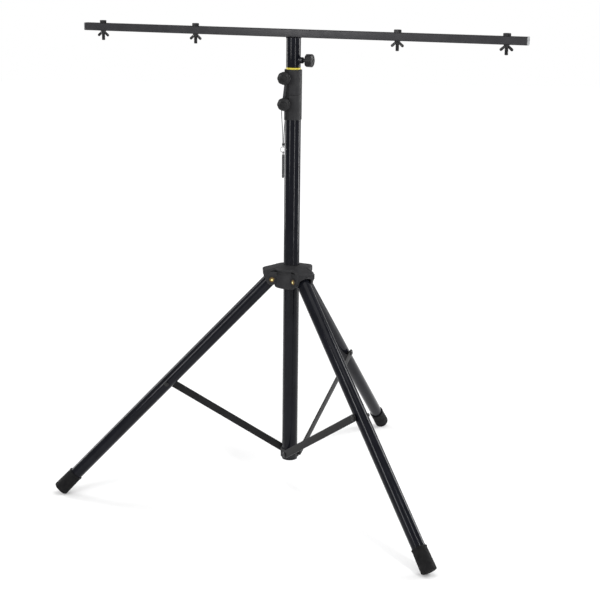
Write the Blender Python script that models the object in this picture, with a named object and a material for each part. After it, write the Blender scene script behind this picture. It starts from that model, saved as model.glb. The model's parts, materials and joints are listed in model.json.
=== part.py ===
import math

import bmesh
import bpy
from mathutils import Matrix, Vector

# Telescopic light stand with a T-bar, standing with its legs spread. Metres, +Z up. The origin
# is where the column's axis meets the floor. Each leg's plane has a radial axis, which points
# away from the column, and a tangential axis, which is its hinges' direction.

# Clearances
GAP = 0.0003                  # between pieces that touch, turn or slide on each other
LEG_CLEARANCE = 0.0006        # between a leg's head and its socket

# Facets of round pieces
TUBE_SIDES = 24               # tubes, and the bores and collars that fit them
SMALL_SIDES = 12              # bolts, pins and holes
KNOB_SIDES = 24

# Legs
LEG_NAMES = ("left", "front", "rear")
FIRST_LEG_AZIMUTH = 182.5     # degrees, round from +X
LEG_SPREAD = 44.0             # degrees, between an open leg and the column
LEG_REACH = 0.8174            # from the hub pivot to the foot's rim
LEG_RADIUS = 0.01735
LEG_WALL = 0.0015
LEG_HEADROOM = 0.012          # tube above the hub pivot
HUB_PIVOT_RADIUS = 0.052      # from the column's axis to a leg's pivot
PIVOT_BOLT_RADIUS = 0.004

# Rubber feet
FOOT_RADIUS = 0.0203
FOOT_LENGTH = 0.062
FOOT_SOLE = 0.008             # rubber below the tube's end
FOOT_RIM = 0.003              # rounding of the sole's edge
FOOT_DOME = 0.0025
FOOT_LIP = 0.0009             # how far the cup's mouth stands proud
FOOT_LIP_HEIGHT = 0.004

# Braces
BRACE_LENGTH = 0.3735         # from hole to hole
BRACE_WIDTH = 0.020
BRACE_THICKNESS = 0.003
BRACE_ON_LEG = 0.4008         # from the hub pivot down the leg to the brace's hole
BRACE_BOLT_RADIUS = 0.004
BOLT_HEAD_RADIUS = 0.0068
BOLT_HEAD_HEIGHT = 0.0028
SPACER_RADIUS = 0.0075
LEG_NUT_HEIGHT = 0.0055

# Brace collar at the column's foot
COLLAR_RADIUS = 0.0245
COLLAR_HEIGHT = 0.024
COLLAR_PIVOT_RADIUS = 0.014   # from the column's axis to a brace's pivot, along the radial axis
COLLAR_FLAT = 0.0223          # tangential distance of the flat that a brace lies on
COLLAR_BOSS_RADIUS = 0.010
COLLAR_BOLT_DEPTH = 0.0028

# Column tubes, from the outside in
MAIN_RADIUS = 0.0207
MAIN_WALL = 0.0015
MIDDLE_RADIUS = 0.0180
MIDDLE_WALL = 0.0015
TOP_RADIUS = 0.0155
TOP_WALL = 0.0015
MAIN_LENGTH = 0.953
COLLAR_ABOVE_TUBE_END = 0.0035
BUSH_SPIGOT = 0.015           # depth of a guide bush or end cap inside its tube
BUSH_FLANGE = 0.003
BUSH_BORE = 0.011
BUSH_SPACING = 0.0035         # free height between two nested tubes' feet
CAP_FLANGE = 0.0025

# Spreader hub
HUB_RADIUS = 0.0490
HUB_GROOVE_RADIUS = 0.0450
HUB_BELLY = 0.0003            # how far the drum bulges at its middle
HUB_TURN_IN = 0.0012          # of the drum's wall at its shoulder
HUB_FOOT_CHAMFER = 0.003
HUB_DEPTH = 0.0225            # from the leg pivots down to the drum's foot
HUB_CROWN = 0.038             # from the leg pivots up to the hood's top
HOOD_FALL = 0.014             # fall of the hood from the column to its lobes' ends
HOOD_THICKNESS = 0.006
HOOD_RADIUS = 0.0505
LOBE_REACH = 0.0757
LOBE_CORNER = 0.010
SOCKET_HALF_WIDTH = 0.0179
CHEEK_HALF_WIDTH = 0.0255
CHEEK_RADIUS = 0.0150         # round the leg pivot
CHEEK_REACH = 0.0735
CHEEK_EDGE = 0.0090           # height of a cheek's outer edge above the pivot
HUB_KNOB_REACH = 0.0560       # outer face of the lock knob's boss
HUB_KNOB_DROP = 0.0035        # of the lock knob's axis below the leg pivots
LEG_CAP_RADIUS = 0.0065
LEG_CAP_HEIGHT = 0.0042

# Clamp collars
CLAMP_RADIUS = 0.0224
CLAMP_HEIGHT = 0.063
LOWER_CLAMP_SEAT = 0.0349     # how far the main tube reaches into its clamp
UPPER_CLAMP_SEAT = 0.0300     # how far the middle tube reaches into its clamp
CLAMP_KNOB_X = -0.0240        # the knobs' screws run along Y beside the tube
CLAMP_FRONT = 0.0197          # half width of the clamp's jaws
CLAMP_SLIT = 0.002
EAR_RADIUS = 0.0088
LOWER_KNOB_HEIGHT = 0.0415    # above the foot of the lower clamp
UPPER_KNOB_HEIGHT = 0.0435    # above the foot of the upper clamp
RING_RADIUS = 0.0190
RING_HEIGHT = 0.0050

# Knobs
SCREW_RADIUS = 0.0030
KNOB_RADIUS = 0.0165
KNOB_NECK_RADIUS = 0.0045
KNOB_NECK = 0.0035
KNOB_CONE = 0.0045
KNOB_DISC = 0.0110
KNOB_DOME = 0.0040
KNOB_EDGE = 0.0012            # chamfer round the grip
KNOB_FLUTES = 8
KNOB_FLUTE_DEPTH = 0.0014

# T-bar
SLEEVE_RADIUS = 0.01855
SLEEVE_HEIGHT = 0.0748
SLEEVE_ROOF = 0.004
SLEEVE_KNOB_HEIGHT = 0.0182   # above the sleeve's foot
SLEEVE_BOSS_RADIUS = 0.0080
SLEEVE_BOSS_REACH = 0.0267
SLEEVE_KNOB_DISC = 0.0165     # the grip is longer than on the clamps
BAR_AZIMUTH = -21.9           # degrees
BAR_LENGTH = 1.200            # with its end caps
BAR_SIDE = 0.020
BAR_WALL = 0.0015
BAR_CORNER = 0.0020
BAR_CAP = 0.0025              # thickness of a cap outside the tube
BAR_CAP_SPIGOT = 0.012
OUTER_BOLT_INSET = 0.053      # from a bar's end to its outer bolt
INNER_BOLT_SHARE = 0.4573     # of the bar's half length, from its middle to an inner bolt

# Fixture bolts and wing nuts
STUD_RADIUS = 0.0045
STUD_BELOW_BAR = 0.0248
HEX_ACROSS_FLATS = 0.0170
HEX_HEIGHT = 0.0068
HEX_CHAMFER = 0.0010
NUT_TOP_RADIUS = 0.0075
NUT_FOOT_RADIUS = 0.0060
NUT_HEIGHT = 0.0085
WING_SPAN = 0.0336
WING_DROP = 0.0154            # from the nut's top to a wing's lowest point
WING_TIP_RADIUS = 0.0036
WING_ROOT_RADIUS = 0.0032
WING_THICKNESS = 0.0032

# Safety pin on its lanyard
CORD_DIAMETER = 0.0018
CORD_STRAND_GAP = 0.0022      # between the strands' centres at the ferrule
CORD_DROP = 0.1005            # from the knob's axis to the ferrule's top
CORD_PARALLEL = 0.03          # share of the drop where the strands hang side by side
FERRULE_RADIUS = 0.0034
FERRULE_HEIGHT = 0.0062
FERRULE_EDGE = 0.0006
EYE_RADIUS = 0.0026           # of the ferrule's wire eye, to the wire's centre
EYE_WIRE = 0.0008
SPLIT_RING_RADIUS = 0.0076    # to the wire's centre
SPLIT_RING_WIRE = 0.0009
PIN_RADIUS = 0.0030
PIN_LENGTH = 0.069
PIN_HEAD = 0.0034             # above the middle of its hole
PIN_POINT = 0.0045            # length of the rounded tip
PIN_TAB = 0.0028              # thickness of the pin's flattened head
PIN_TAB_HEIGHT = 0.0085
PIN_HOLE_RADIUS = 0.0015
STRAP_WIDTH = 0.0065
STRAP_THICKNESS = 0.0016
STRAP_HEAD_RADIUS = 0.0085
STRAP_DROP = 0.0560           # from the upper knob's axis to the strap's end
STRAP_LEAN = 0.0060           # how far the tail starts beside the knob's axis
LANYARD_SWING = 30.0          # degrees, when the hub is all the way up


# Sizes that follow from the ones above
spread = math.radians(LEG_SPREAD)
leg_azimuths = [math.radians(FIRST_LEG_AZIMUTH + 120.0 * side) for side in range(3)]
pivot_height = (
    LEG_REACH * math.cos(spread) + (FOOT_RADIUS - FOOT_RIM) * math.sin(spread) + FOOT_RIM
)
joint_radius = HUB_PIVOT_RADIUS + BRACE_ON_LEG * math.sin(spread)
joint_height = pivot_height - BRACE_ON_LEG * math.cos(spread)
brace_run = joint_radius - COLLAR_PIVOT_RADIUS
brace_rise = math.sqrt(BRACE_LENGTH**2 - brace_run**2)
brace_slope = math.atan2(brace_rise, brace_run)
collar_height = joint_height - brace_rise
brace_plane = COLLAR_FLAT + GAP
folded_run = HUB_PIVOT_RADIUS - COLLAR_PIVOT_RADIUS
folded_rise = math.sqrt(BRACE_LENGTH**2 - folded_run**2)
hub_travel = collar_height + folded_rise + BRACE_ON_LEG - pivot_height
brace_turn = math.atan2(folded_rise, folded_run) - brace_slope

main_foot = collar_height - COLLAR_HEIGHT / 2 - COLLAR_ABOVE_TUBE_END
main_top = main_foot + MAIN_LENGTH
middle_foot = main_foot + BUSH_SPIGOT + BUSH_SPACING + BUSH_FLANGE + GAP
top_foot = middle_foot + BUSH_SPIGOT + BUSH_SPACING + BUSH_FLANGE + GAP
lower_clamp_foot = main_top - LOWER_CLAMP_SEAT
upper_clamp_foot = lower_clamp_foot + CLAMP_HEIGHT + GAP
middle_top = upper_clamp_foot + UPPER_CLAMP_SEAT
ring_foot = upper_clamp_foot + CLAMP_HEIGHT + GAP
sleeve_foot = ring_foot + RING_HEIGHT + GAP
top_top = sleeve_foot + SLEEVE_HEIGHT - SLEEVE_ROOF - GAP
bar_foot = sleeve_foot + SLEEVE_HEIGHT + GAP
outer_bolt = BAR_LENGTH / 2 - OUTER_BOLT_INSET
inner_bolt = BAR_LENGTH / 2 * INNER_BOLT_SHARE
bolt_stations = (-outer_bolt, -inner_bolt, inner_bolt, outer_bolt)   # along the bar
lower_knob_height = lower_clamp_foot + LOWER_KNOB_HEIGHT
upper_knob_height = upper_clamp_foot + UPPER_KNOB_HEIGHT
lanyard_plane = -CLAMP_FRONT - GAP - STRAP_THICKNESS / 2 - GAP


def clear_scene():
    for old in list(bpy.data.objects):
        bpy.data.objects.remove(old, do_unlink=True)


def make_material(name, colour, roughness, metallic):
    material = bpy.data.materials.new(name)
    material.use_nodes = True
    shader = material.node_tree.nodes["Principled BSDF"]
    shader.inputs["Base Color"].default_value = (*colour, 1.0)
    shader.inputs["Roughness"].default_value = roughness
    shader.inputs["Metallic"].default_value = metallic
    material.diffuse_color = (*colour, 1.0)
    return material


def make_object(name, shape, material=None):
    bmesh.ops.recalc_face_normals(shape, faces=shape.faces)
    mesh = bpy.data.meshes.new(name)
    shape.to_mesh(mesh)
    shape.free()
    mesh.shade_smooth()
    mesh.set_sharp_from_angle(angle=math.radians(35))
    if material:
        mesh.materials.append(material)
    made = bpy.data.objects.new(name, mesh)
    bpy.context.collection.objects.link(made)
    return made


def make_frame(name, parent=None, location=(0, 0, 0), turn=0.0, tilt=0.0):
    """An empty at a joint. turn is about Z, then tilt is about its own Y."""
    frame = bpy.data.objects.new(name, None)
    frame.empty_display_size = 0.03
    bpy.context.collection.objects.link(frame)
    frame.parent = parent
    frame.matrix_local = (
        Matrix.Translation(location) @ Matrix.Rotation(turn, 4, "Z") @ Matrix.Rotation(tilt, 4, "Y")
    )
    return frame


def place(piece, parent, location=(0, 0, 0), rotation=None):
    piece.parent = parent
    piece.matrix_local = Matrix.Translation(location) @ (rotation or Matrix.Identity(4))
    bpy.context.view_layer.update()
    return piece


def along(axis):
    """The rotation that turns +Z to an axis of the parent."""
    return Vector((0, 0, 1)).rotation_difference(Vector(axis)).to_matrix().to_4x4()


def arc(centre, radius, start, end, steps):
    """Points on an arc, as pairs, from one angle in degrees to another."""
    points = []
    for step in range(steps + 1):
        angle = math.radians(start + (end - start) * step / steps)
        points.append((centre[0] + radius * math.cos(angle), centre[1] + radius * math.sin(angle)))
    return points


def turned(profile, sides=TUBE_SIDES, hollow=False, flutes=0, flute_depth=0.0, fluted=()):
    """A solid turned about Z from (radius, height) points. A hollow one joins its last point to
    its first. Points whose index is in fluted are drawn in between the flutes' crests."""
    shape = bmesh.new()
    rings = []
    for index, (radius, height) in enumerate(profile):
        if radius == 0:
            rings.append([shape.verts.new((0, 0, height))] * sides)
            continue
        ring = []
        for side in range(sides):
            angle = 2 * math.pi * side / sides
            drawn = flute_depth * (1 - math.cos(flutes * angle)) / 2 if index in fluted else 0
            reach = radius - drawn
            ring.append(shape.verts.new((reach * math.cos(angle), reach * math.sin(angle), height)))
        rings.append(ring)
    pairs = list(zip(rings, rings[1:] + rings[:1])) if hollow else list(zip(rings, rings[1:]))
    for low, high in pairs:
        for side in range(sides):
            corners = [low[side], low[side - 1], high[side - 1], high[side]]
            shape.faces.new(list(dict.fromkeys(corners)))
    return shape


def pipe(outer, wall, foot, top, sides=TUBE_SIDES):
    """A straight tube along Z."""
    inner = outer - wall
    return turned([(outer, foot), (outer, top), (inner, top), (inner, foot)], sides, hollow=True)


def rod(radius, foot, top, sides=SMALL_SIDES):
    return turned([(0, foot), (radius, foot), (radius, top), (0, top)], sides)


def box(low, high):
    shape = bmesh.new()
    bmesh.ops.create_cube(shape, size=1.0)
    middle = (Vector(low) + Vector(high)) / 2
    size = Vector(high) - Vector(low)
    bmesh.ops.scale(shape, vec=size, verts=shape.verts)
    bmesh.ops.translate(shape, vec=middle, verts=shape.verts)
    return shape


def prism(outline, low, high, lie="XZ"):
    """An outline with depth: in the XZ plane and deep along Y, or in the XY plane along Z."""
    shape = bmesh.new()
    sides = []
    for depth in (low, high):
        corners = []
        for across, up in outline:
            spot = (across, depth, up) if lie == "XZ" else (across, up, depth)
            corners.append(shape.verts.new(spot))
        sides.append(corners)
    near, far = sides
    shape.faces.new(near)
    shape.faces.new(far[::-1])
    for index in range(len(near)):
        shape.faces.new([near[index - 1], near[index], far[index], far[index - 1]])
    return shape


def hull_outline(points):
    """The convex outline round some points, by Andrew's monotone chain."""
    ordered = sorted(set((round(x, 9), round(y, 9)) for x, y in points))

    def chain(run):
        kept = []
        for point in run:
            while len(kept) > 1 and (
                (kept[-1][0] - kept[-2][0]) * (point[1] - kept[-2][1])
                - (kept[-1][1] - kept[-2][1]) * (point[0] - kept[-2][0])
            ) <= 1e-12:
                kept.pop()
            kept.append(point)
        return kept[:-1]

    return chain(ordered) + chain(ordered[::-1])


def combine(piece, tool, operation):
    """Cut, join or intersect a piece with a tool, which is used up."""
    bpy.context.view_layer.update()
    step = piece.modifiers.new(operation, "BOOLEAN")
    step.operation = operation
    step.solver = "EXACT"
    step.object = tool
    graph = bpy.context.evaluated_depsgraph_get()
    result = bpy.data.meshes.new_from_object(piece.evaluated_get(graph))
    piece.modifiers.clear()
    piece.data = result
    result.name = piece.name
    bpy.data.objects.remove(tool, do_unlink=True)
    result.shade_smooth()
    result.set_sharp_from_angle(angle=math.radians(35))
    return piece


def tool_object(shape, parent=None, location=(0, 0, 0), rotation=None):
    tool = make_object("tool", shape)
    tool.hide_render = True
    tool.display_type = "WIRE"
    return place(tool, parent, location, rotation)


def cut(piece, shape, parent=None, location=(0, 0, 0), rotation=None):
    return combine(piece, tool_object(shape, parent, location, rotation), "DIFFERENCE")


def join(piece, shape, parent=None, location=(0, 0, 0), rotation=None):
    return combine(piece, tool_object(shape, parent, location, rotation), "UNION")


def move_origin(piece, spot):
    """Shift a piece's mesh so that the spot, in its own space, becomes its origin."""
    piece.data.transform(Matrix.Translation(-Vector(spot)))


def make_main_tube():
    tube = make_object("main_tube", pipe(MAIN_RADIUS, MAIN_WALL, main_foot, main_top), coated)
    return place(tube, column)


def make_end_cap():
    bore = MAIN_RADIUS - MAIN_WALL - GAP
    profile = [
        (0, main_foot - GAP - CAP_FLANGE),
        (MAIN_RADIUS - CAP_FLANGE / 2, main_foot - GAP - CAP_FLANGE),
        (MAIN_RADIUS, main_foot - GAP - CAP_FLANGE / 2),
        (MAIN_RADIUS, main_foot - GAP),
        (bore, main_foot - GAP),
        (bore, main_foot + BUSH_SPIGOT),
        (0, main_foot + BUSH_SPIGOT),
    ]
    return place(make_object("column_end_cap", turned(profile), plastic), column)


def make_nested_tube(name, section, radius, wall, foot, top):
    tube = make_object(name, pipe(radius, wall, foot, top), coated)
    move_origin(tube, section.matrix_world.translation)
    return place(tube, section)


def make_bush(name, section, tube_radius, tube_wall, guide_bore, foot):
    """A flanged bush in the foot of a nested tube. Its flange runs in the tube outside."""
    profile = [
        (guide_bore - GAP, foot - GAP - BUSH_FLANGE),
        (guide_bore - GAP, foot - GAP),
        (tube_radius - tube_wall - GAP, foot - GAP),
        (tube_radius - tube_wall - GAP, foot + BUSH_SPIGOT),
        (BUSH_BORE, foot + BUSH_SPIGOT),
        (BUSH_BORE, foot - GAP - BUSH_FLANGE),
    ]
    bush = make_object(name, turned(profile, hollow=True), plastic)
    move_origin(bush, section.matrix_world.translation)
    return place(bush, section)


def make_brace_collar():
    low = collar_height - COLLAR_HEIGHT / 2
    high = collar_height + COLLAR_HEIGHT / 2
    reach = COLLAR_PIVOT_RADIUS + COLLAR_BOSS_RADIUS
    collar = make_object("brace_collar", rod(COLLAR_RADIUS, low, high, TUBE_SIDES), plastic)
    place(collar, column)
    for azimuth in leg_azimuths:
        turn = Matrix.Rotation(azimuth, 4, "Z")
        boss = rod(COLLAR_BOSS_RADIUS, 0, 1.1 * COLLAR_FLAT)
        spot = turn @ Vector((COLLAR_PIVOT_RADIUS, 0, collar_height))
        join(collar, boss, column, spot, turn @ along((0, -1, 0)))
        outer = (-reach, -2 * COLLAR_FLAT, low - BRACE_WIDTH)
        inner = (2 * reach, -COLLAR_FLAT, high + BRACE_WIDTH)
        cut(collar, box(outer, inner), column, rotation=turn)
    bore = rod(MAIN_RADIUS + GAP, low - GAP, high + GAP, TUBE_SIDES)
    cut(collar, bore, column)
    for azimuth in leg_azimuths:
        turn = Matrix.Rotation(azimuth, 4, "Z")
        spot = turn @ Vector((COLLAR_PIVOT_RADIUS, -COLLAR_FLAT, collar_height))
        hole = rod(BRACE_BOLT_RADIUS + GAP, -COLLAR_BOLT_DEPTH - GAP, COLLAR_BOLT_DEPTH)
        cut(collar, hole, column, spot, turn @ along((0, -1, 0)))
    return collar


def make_brace(name, frame):
    ends = arc((0, 0), BRACE_WIDTH / 2, 90, 270, 8)
    ends += arc((BRACE_LENGTH, 0), BRACE_WIDTH / 2, -90, 90, 8)
    bar = make_object(name, prism(ends, -BRACE_THICKNESS, 0), bar_paint)
    place(bar, frame, (0, -brace_plane, 0))
    for spot in (0, BRACE_LENGTH):
        hole = rod(BRACE_BOLT_RADIUS + GAP, -BRACE_THICKNESS, 2 * BRACE_THICKNESS)
        cut(bar, hole, frame, (spot, -brace_plane, 0), along((0, -1, 0)))
    return bar


def bolt_head(foot):
    """Profile of a low domed head on a shank, from its rim to its crown."""
    top = foot + BOLT_HEAD_HEIGHT
    return [
        (BOLT_HEAD_RADIUS, foot),
        (BOLT_HEAD_RADIUS, foot + 0.6 * BOLT_HEAD_HEIGHT),
        (BOLT_HEAD_RADIUS - 0.4 * BOLT_HEAD_HEIGHT, top),
        (0, top),
    ]


def make_collar_bolt(name, azimuth):
    """The pivot of a brace at the collar. Its own Z points out of the brace."""
    under_head = GAP + BRACE_THICKNESS + GAP
    profile = [
        (0, -COLLAR_BOLT_DEPTH),
        (BRACE_BOLT_RADIUS, -COLLAR_BOLT_DEPTH),
        (BRACE_BOLT_RADIUS, under_head),
        *bolt_head(under_head),
    ]
    turn = Matrix.Rotation(azimuth, 4, "Z")
    spot = turn @ Vector((COLLAR_PIVOT_RADIUS, -COLLAR_FLAT, collar_height))
    bolt = make_object(name, turned(profile, SMALL_SIDES), steel)
    return place(bolt, column, spot, turn @ along((0, -1, 0)))


def make_brace_rivet(name, frame):
    """The stud in a brace's far hole. It stays in the brace and lies against the leg's spacer."""
    profile = [
        (0, GAP / 2),
        (BRACE_BOLT_RADIUS, GAP / 2),
        (BRACE_BOLT_RADIUS, BRACE_THICKNESS + GAP),
        *bolt_head(BRACE_THICKNESS + GAP),
    ]
    rivet = make_object(name, turned(profile, SMALL_SIDES), steel)
    return place(rivet, frame, (BRACE_LENGTH, -brace_plane, 0), along((0, -1, 0)))


def make_leg(name, frame):
    """A leg's own Z runs up the tube, with the hub pivot at its origin."""
    rim = LEG_REACH - FOOT_SOLE + FOOT_RIM
    leg = make_object(name, pipe(LEG_RADIUS, LEG_WALL, -rim, LEG_HEADROOM), coated)
    place(leg, frame)
    reach = 2 * LEG_RADIUS
    for height, radius in ((0, PIVOT_BOLT_RADIUS), (-BRACE_ON_LEG, BRACE_BOLT_RADIUS)):
        hole = rod(radius + GAP, -reach, reach)
        cut(leg, hole, frame, (0, 0, height), along((0, -1, 0)))
    return leg


def make_foot(name, frame):
    """A rubber cup. Its sole is rounded so that its lowest line lies on the floor."""
    bore = LEG_RADIUS + GAP
    sole = -LEG_REACH
    mouth = sole - FOOT_RIM + FOOT_LENGTH
    seat = sole - FOOT_RIM + FOOT_SOLE - GAP
    touching = -(90 - LEG_SPREAD)
    rim = arc((FOOT_RADIUS - FOOT_RIM, sole), FOOT_RIM, touching / 2, 1.5 * touching, 2)
    profile = [
        (0, sole - FOOT_RIM - FOOT_DOME),
        (FOOT_RADIUS / 2, sole - FOOT_RIM - 0.7 * FOOT_DOME),
        *rim[::-1],
        (FOOT_RADIUS, sole),
        (FOOT_RADIUS - FOOT_LIP, mouth - 2 * FOOT_LIP_HEIGHT),
        (FOOT_RADIUS - FOOT_LIP, mouth - FOOT_LIP_HEIGHT),
        (FOOT_RADIUS, mouth - FOOT_LIP_HEIGHT + FOOT_LIP),
        (FOOT_RADIUS, mouth - FOOT_LIP),
        (FOOT_RADIUS - FOOT_LIP, mouth),
        (bore, mouth),
        (bore, seat),
        (0, seat),
    ]
    return place(make_object(name, turned(profile), rubber), frame)


def make_leg_bolt(name, frame):
    """The cross bolt that carries a brace: a spacer on the brace's side and a nut on the other."""
    nut_foot = -LEG_RADIUS - GAP
    spacer = LEG_RADIUS + GAP
    profile = [
        (0, nut_foot - LEG_NUT_HEIGHT),
        (BOLT_HEAD_RADIUS, nut_foot - LEG_NUT_HEIGHT),
        (BOLT_HEAD_RADIUS, nut_foot),
        (BRACE_BOLT_RADIUS, nut_foot),
        (BRACE_BOLT_RADIUS, spacer),
        (SPACER_RADIUS, spacer),
        (SPACER_RADIUS, brace_plane - GAP),
        (0, brace_plane - GAP),
    ]
    bolt = make_object(name, turned(profile, SMALL_SIDES), steel)
    return place(bolt, frame, (0, 0, -BRACE_ON_LEG), along((0, -1, 0)))


def make_pivot_bolt(name, frame):
    reach = CHEEK_HALF_WIDTH - GAP
    bolt = make_object(name, rod(PIVOT_BOLT_RADIUS, -reach, reach), steel)
    return place(bolt, frame, rotation=along((0, -1, 0)))


def make_leg_cap(name, frame, side):
    """The yellow cap over one end of a pivot bolt, on the cheek's outer face."""
    foot = CHEEK_HALF_WIDTH + GAP
    profile = [
        (0, foot),
        (LEG_CAP_RADIUS, foot),
        (LEG_CAP_RADIUS, foot + 0.6 * LEG_CAP_HEIGHT),
        (0.75 * LEG_CAP_RADIUS, foot + 0.92 * LEG_CAP_HEIGHT),
        (0, foot + LEG_CAP_HEIGHT),
    ]
    cap = make_object(name, turned(profile, SMALL_SIDES), yellow)
    return place(cap, frame, rotation=along((0, side, 0)))


def hood_height(radius):
    fall = HOOD_FALL * (radius - MAIN_RADIUS) / (LOBE_REACH - MAIN_RADIUS)
    return pivot_height + HUB_CROWN - fall


def hood_outline():
    """The hood seen from above: a disc with a lobe over each leg."""
    meet = math.degrees(math.asin(CHEEK_HALF_WIDTH / HOOD_RADIUS))
    side = CHEEK_HALF_WIDTH - LOBE_CORNER
    end = LOBE_REACH - LOBE_CORNER
    sector = arc((end, -side), LOBE_CORNER, -90, 0, 5)
    sector += arc((end, side), LOBE_CORNER, 0, 90, 5)
    sector += arc((0, 0), HOOD_RADIUS, meet, 120 - meet, 8)
    outline = []
    for azimuth in leg_azimuths:
        for x, y in sector:
            across = x * math.cos(azimuth) - y * math.sin(azimuth)
            ahead = x * math.sin(azimuth) + y * math.cos(azimuth)
            outline.append((across, ahead))
    return outline


def make_hub():
    """A drum under a sloping hood with a socket for each leg between two cheeks."""
    low = pivot_height - HUB_DEPTH
    groove = pivot_height + 0.75 * HUB_DEPTH
    rim = LOBE_REACH + LOBE_CORNER
    drum = [
        (0, low),
        (HUB_RADIUS - 1.5 * HUB_FOOT_CHAMFER, low),
        (HUB_RADIUS - 0.5 * HUB_FOOT_CHAMFER, low + HUB_FOOT_CHAMFER),
        (HUB_RADIUS - HUB_BELLY, low + 0.4 * HUB_DEPTH),
        (HUB_RADIUS, low + 0.9 * HUB_DEPTH),
        (HUB_RADIUS - HUB_TURN_IN, low + 1.4 * HUB_DEPTH),
        (HUB_GROOVE_RADIUS, groove),
        (HUB_GROOVE_RADIUS, hood_height(HUB_GROOVE_RADIUS) - HOOD_THICKNESS / 2),
        (MAIN_RADIUS, hood_height(MAIN_RADIUS) - HOOD_THICKNESS / 2),
        (0, hood_height(MAIN_RADIUS) - HOOD_THICKNESS / 2),
    ]
    hood = [
        (0, hood_height(0) - HOOD_THICKNESS),
        (rim, hood_height(rim) - HOOD_THICKNESS),
        (rim, hood_height(rim)),
        (MAIN_RADIUS, hood_height(MAIN_RADIUS)),
        (0, hood_height(MAIN_RADIUS)),
    ]
    roof = hood_height(CHEEK_REACH) - HOOD_THICKNESS / 2
    cheek_root = HUB_PIVOT_RADIUS - CHEEK_RADIUS
    cheek = arc((HUB_PIVOT_RADIUS, pivot_height), CHEEK_RADIUS, 180, 360, 14)
    cheek += [
        (CHEEK_REACH, pivot_height + CHEEK_EDGE),
        (CHEEK_REACH, roof),
        (cheek_root, roof),
    ]
    plan = make_object("hub_plan", prism(hood_outline(), low, pivot_height + 2 * HUB_CROWN, "XY"))
    hub = make_object("hub", turned(hood, 36), plastic)
    for azimuth in leg_azimuths:
        turn = Matrix.Rotation(azimuth, 4, "Z")
        join(hub, prism(hull_outline(cheek), -CHEEK_HALF_WIDTH, CHEEK_HALF_WIDTH), rotation=turn)
    combine(hub, plan, "INTERSECT")
    join(hub, turned(drum, 32), rotation=Matrix.Rotation(leg_azimuths[0], 4, "Z"))
    knob_spot = (0, 0, pivot_height - HUB_KNOB_DROP)
    join(hub, rod(SLEEVE_BOSS_RADIUS, 0, HUB_KNOB_REACH), None, knob_spot, along(lock_direction))
    cut(hub, rod(MAIN_RADIUS + GAP, low - GAP, pivot_height + 2 * HUB_CROWN, TUBE_SIDES))
    head = math.hypot(LEG_HEADROOM, LEG_RADIUS) + LEG_CLEARANCE
    below = 3 * LOBE_REACH
    socket = arc((0, 0), head, 180, LEG_SPREAD, 12)
    across, up = socket[-1]
    socket += [
        (across + below * math.sin(spread), up - below * math.cos(spread)),
        (across + below * math.sin(spread), -2 * below),
        (-head, -2 * below),
    ]
    for azimuth in leg_azimuths:
        turn = Matrix.Rotation(azimuth, 4, "Z")
        spot = turn @ Vector((HUB_PIVOT_RADIUS, 0, pivot_height))
        cut(hub, prism(socket, -SOCKET_HALF_WIDTH, SOCKET_HALF_WIDTH), None, spot, turn)
        hole = rod(PIVOT_BOLT_RADIUS + GAP, -2 * CHEEK_HALF_WIDTH, 2 * CHEEK_HALF_WIDTH)
        cut(hub, hole, None, spot, turn @ along((0, 1, 0)))
    screw_hole = rod(SCREW_RADIUS + GAP, 0, 2 * HUB_KNOB_REACH)
    cut(hub, screw_hole, None, knob_spot, along(lock_direction))
    hub.matrix_world = Matrix.Identity(4)
    move_origin(hub, (0, 0, pivot_height))
    return place(hub, carriage)


def make_knob(name, frame, spot, axis, screw, disc=KNOB_DISC):
    """A fluted grip on a screw. Its own Z points out from the face that it tightens on."""
    cone = GAP + KNOB_NECK
    back = cone + KNOB_CONE
    front = back + disc
    profile = [
        (0, -screw),
        (SCREW_RADIUS, -screw),
        (SCREW_RADIUS, GAP),
        (KNOB_NECK_RADIUS, GAP),
        (KNOB_NECK_RADIUS, cone),
        (0.6 * KNOB_RADIUS, back),
        (KNOB_RADIUS - KNOB_EDGE, back),
        (KNOB_RADIUS, back + KNOB_EDGE),
        (KNOB_RADIUS, front - KNOB_EDGE),
        (KNOB_RADIUS - 1.25 * KNOB_EDGE, front),
        (0.55 * KNOB_RADIUS, front + 0.75 * KNOB_DOME),
        (0, front + KNOB_DOME),
    ]
    shape = turned(profile, KNOB_SIDES, False, KNOB_FLUTES, KNOB_FLUTE_DEPTH, (6, 7, 8, 9))
    return place(make_object(name, shape, plastic), frame, spot, along(axis))


def make_clamp(name, frame, foot, seat_radius, seat_depth, guide_radius, knob_height):
    """A split collar. It sits on one tube's end and its jaws grip the tube inside."""
    top = foot + CLAMP_HEIGHT
    past = 2 * CLAMP_RADIUS
    round_end = 180 - math.degrees(math.asin(CLAMP_FRONT / CLAMP_RADIUS))
    outline = arc((0, 0), CLAMP_RADIUS, -round_end, round_end, 18)
    outline += [(-CLAMP_RADIUS, CLAMP_FRONT), (-CLAMP_RADIUS, -CLAMP_FRONT)]
    clamp = make_object(name, prism(outline, foot, top, "XY"), plastic)
    knob_spot = (CLAMP_KNOB_X, 0, knob_height)
    ear = rod(EAR_RADIUS, -CLAMP_FRONT, CLAMP_FRONT)
    join(clamp, ear, None, knob_spot, along((0, 1, 0)))
    cut(clamp, rod(seat_radius + GAP, foot - past, foot + seat_depth + GAP, TUBE_SIDES))
    cut(clamp, rod(guide_radius + GAP, foot, top + past, TUBE_SIDES))
    cut(clamp, box((-past, -CLAMP_SLIT / 2, foot - past), (0, CLAMP_SLIT / 2, top + past)))
    cut(clamp, rod(SCREW_RADIUS + GAP, -past, past), None, knob_spot, along((0, 1, 0)))
    spot = frame.matrix_world.translation
    move_origin(clamp, spot)
    return place(clamp, frame)


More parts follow.
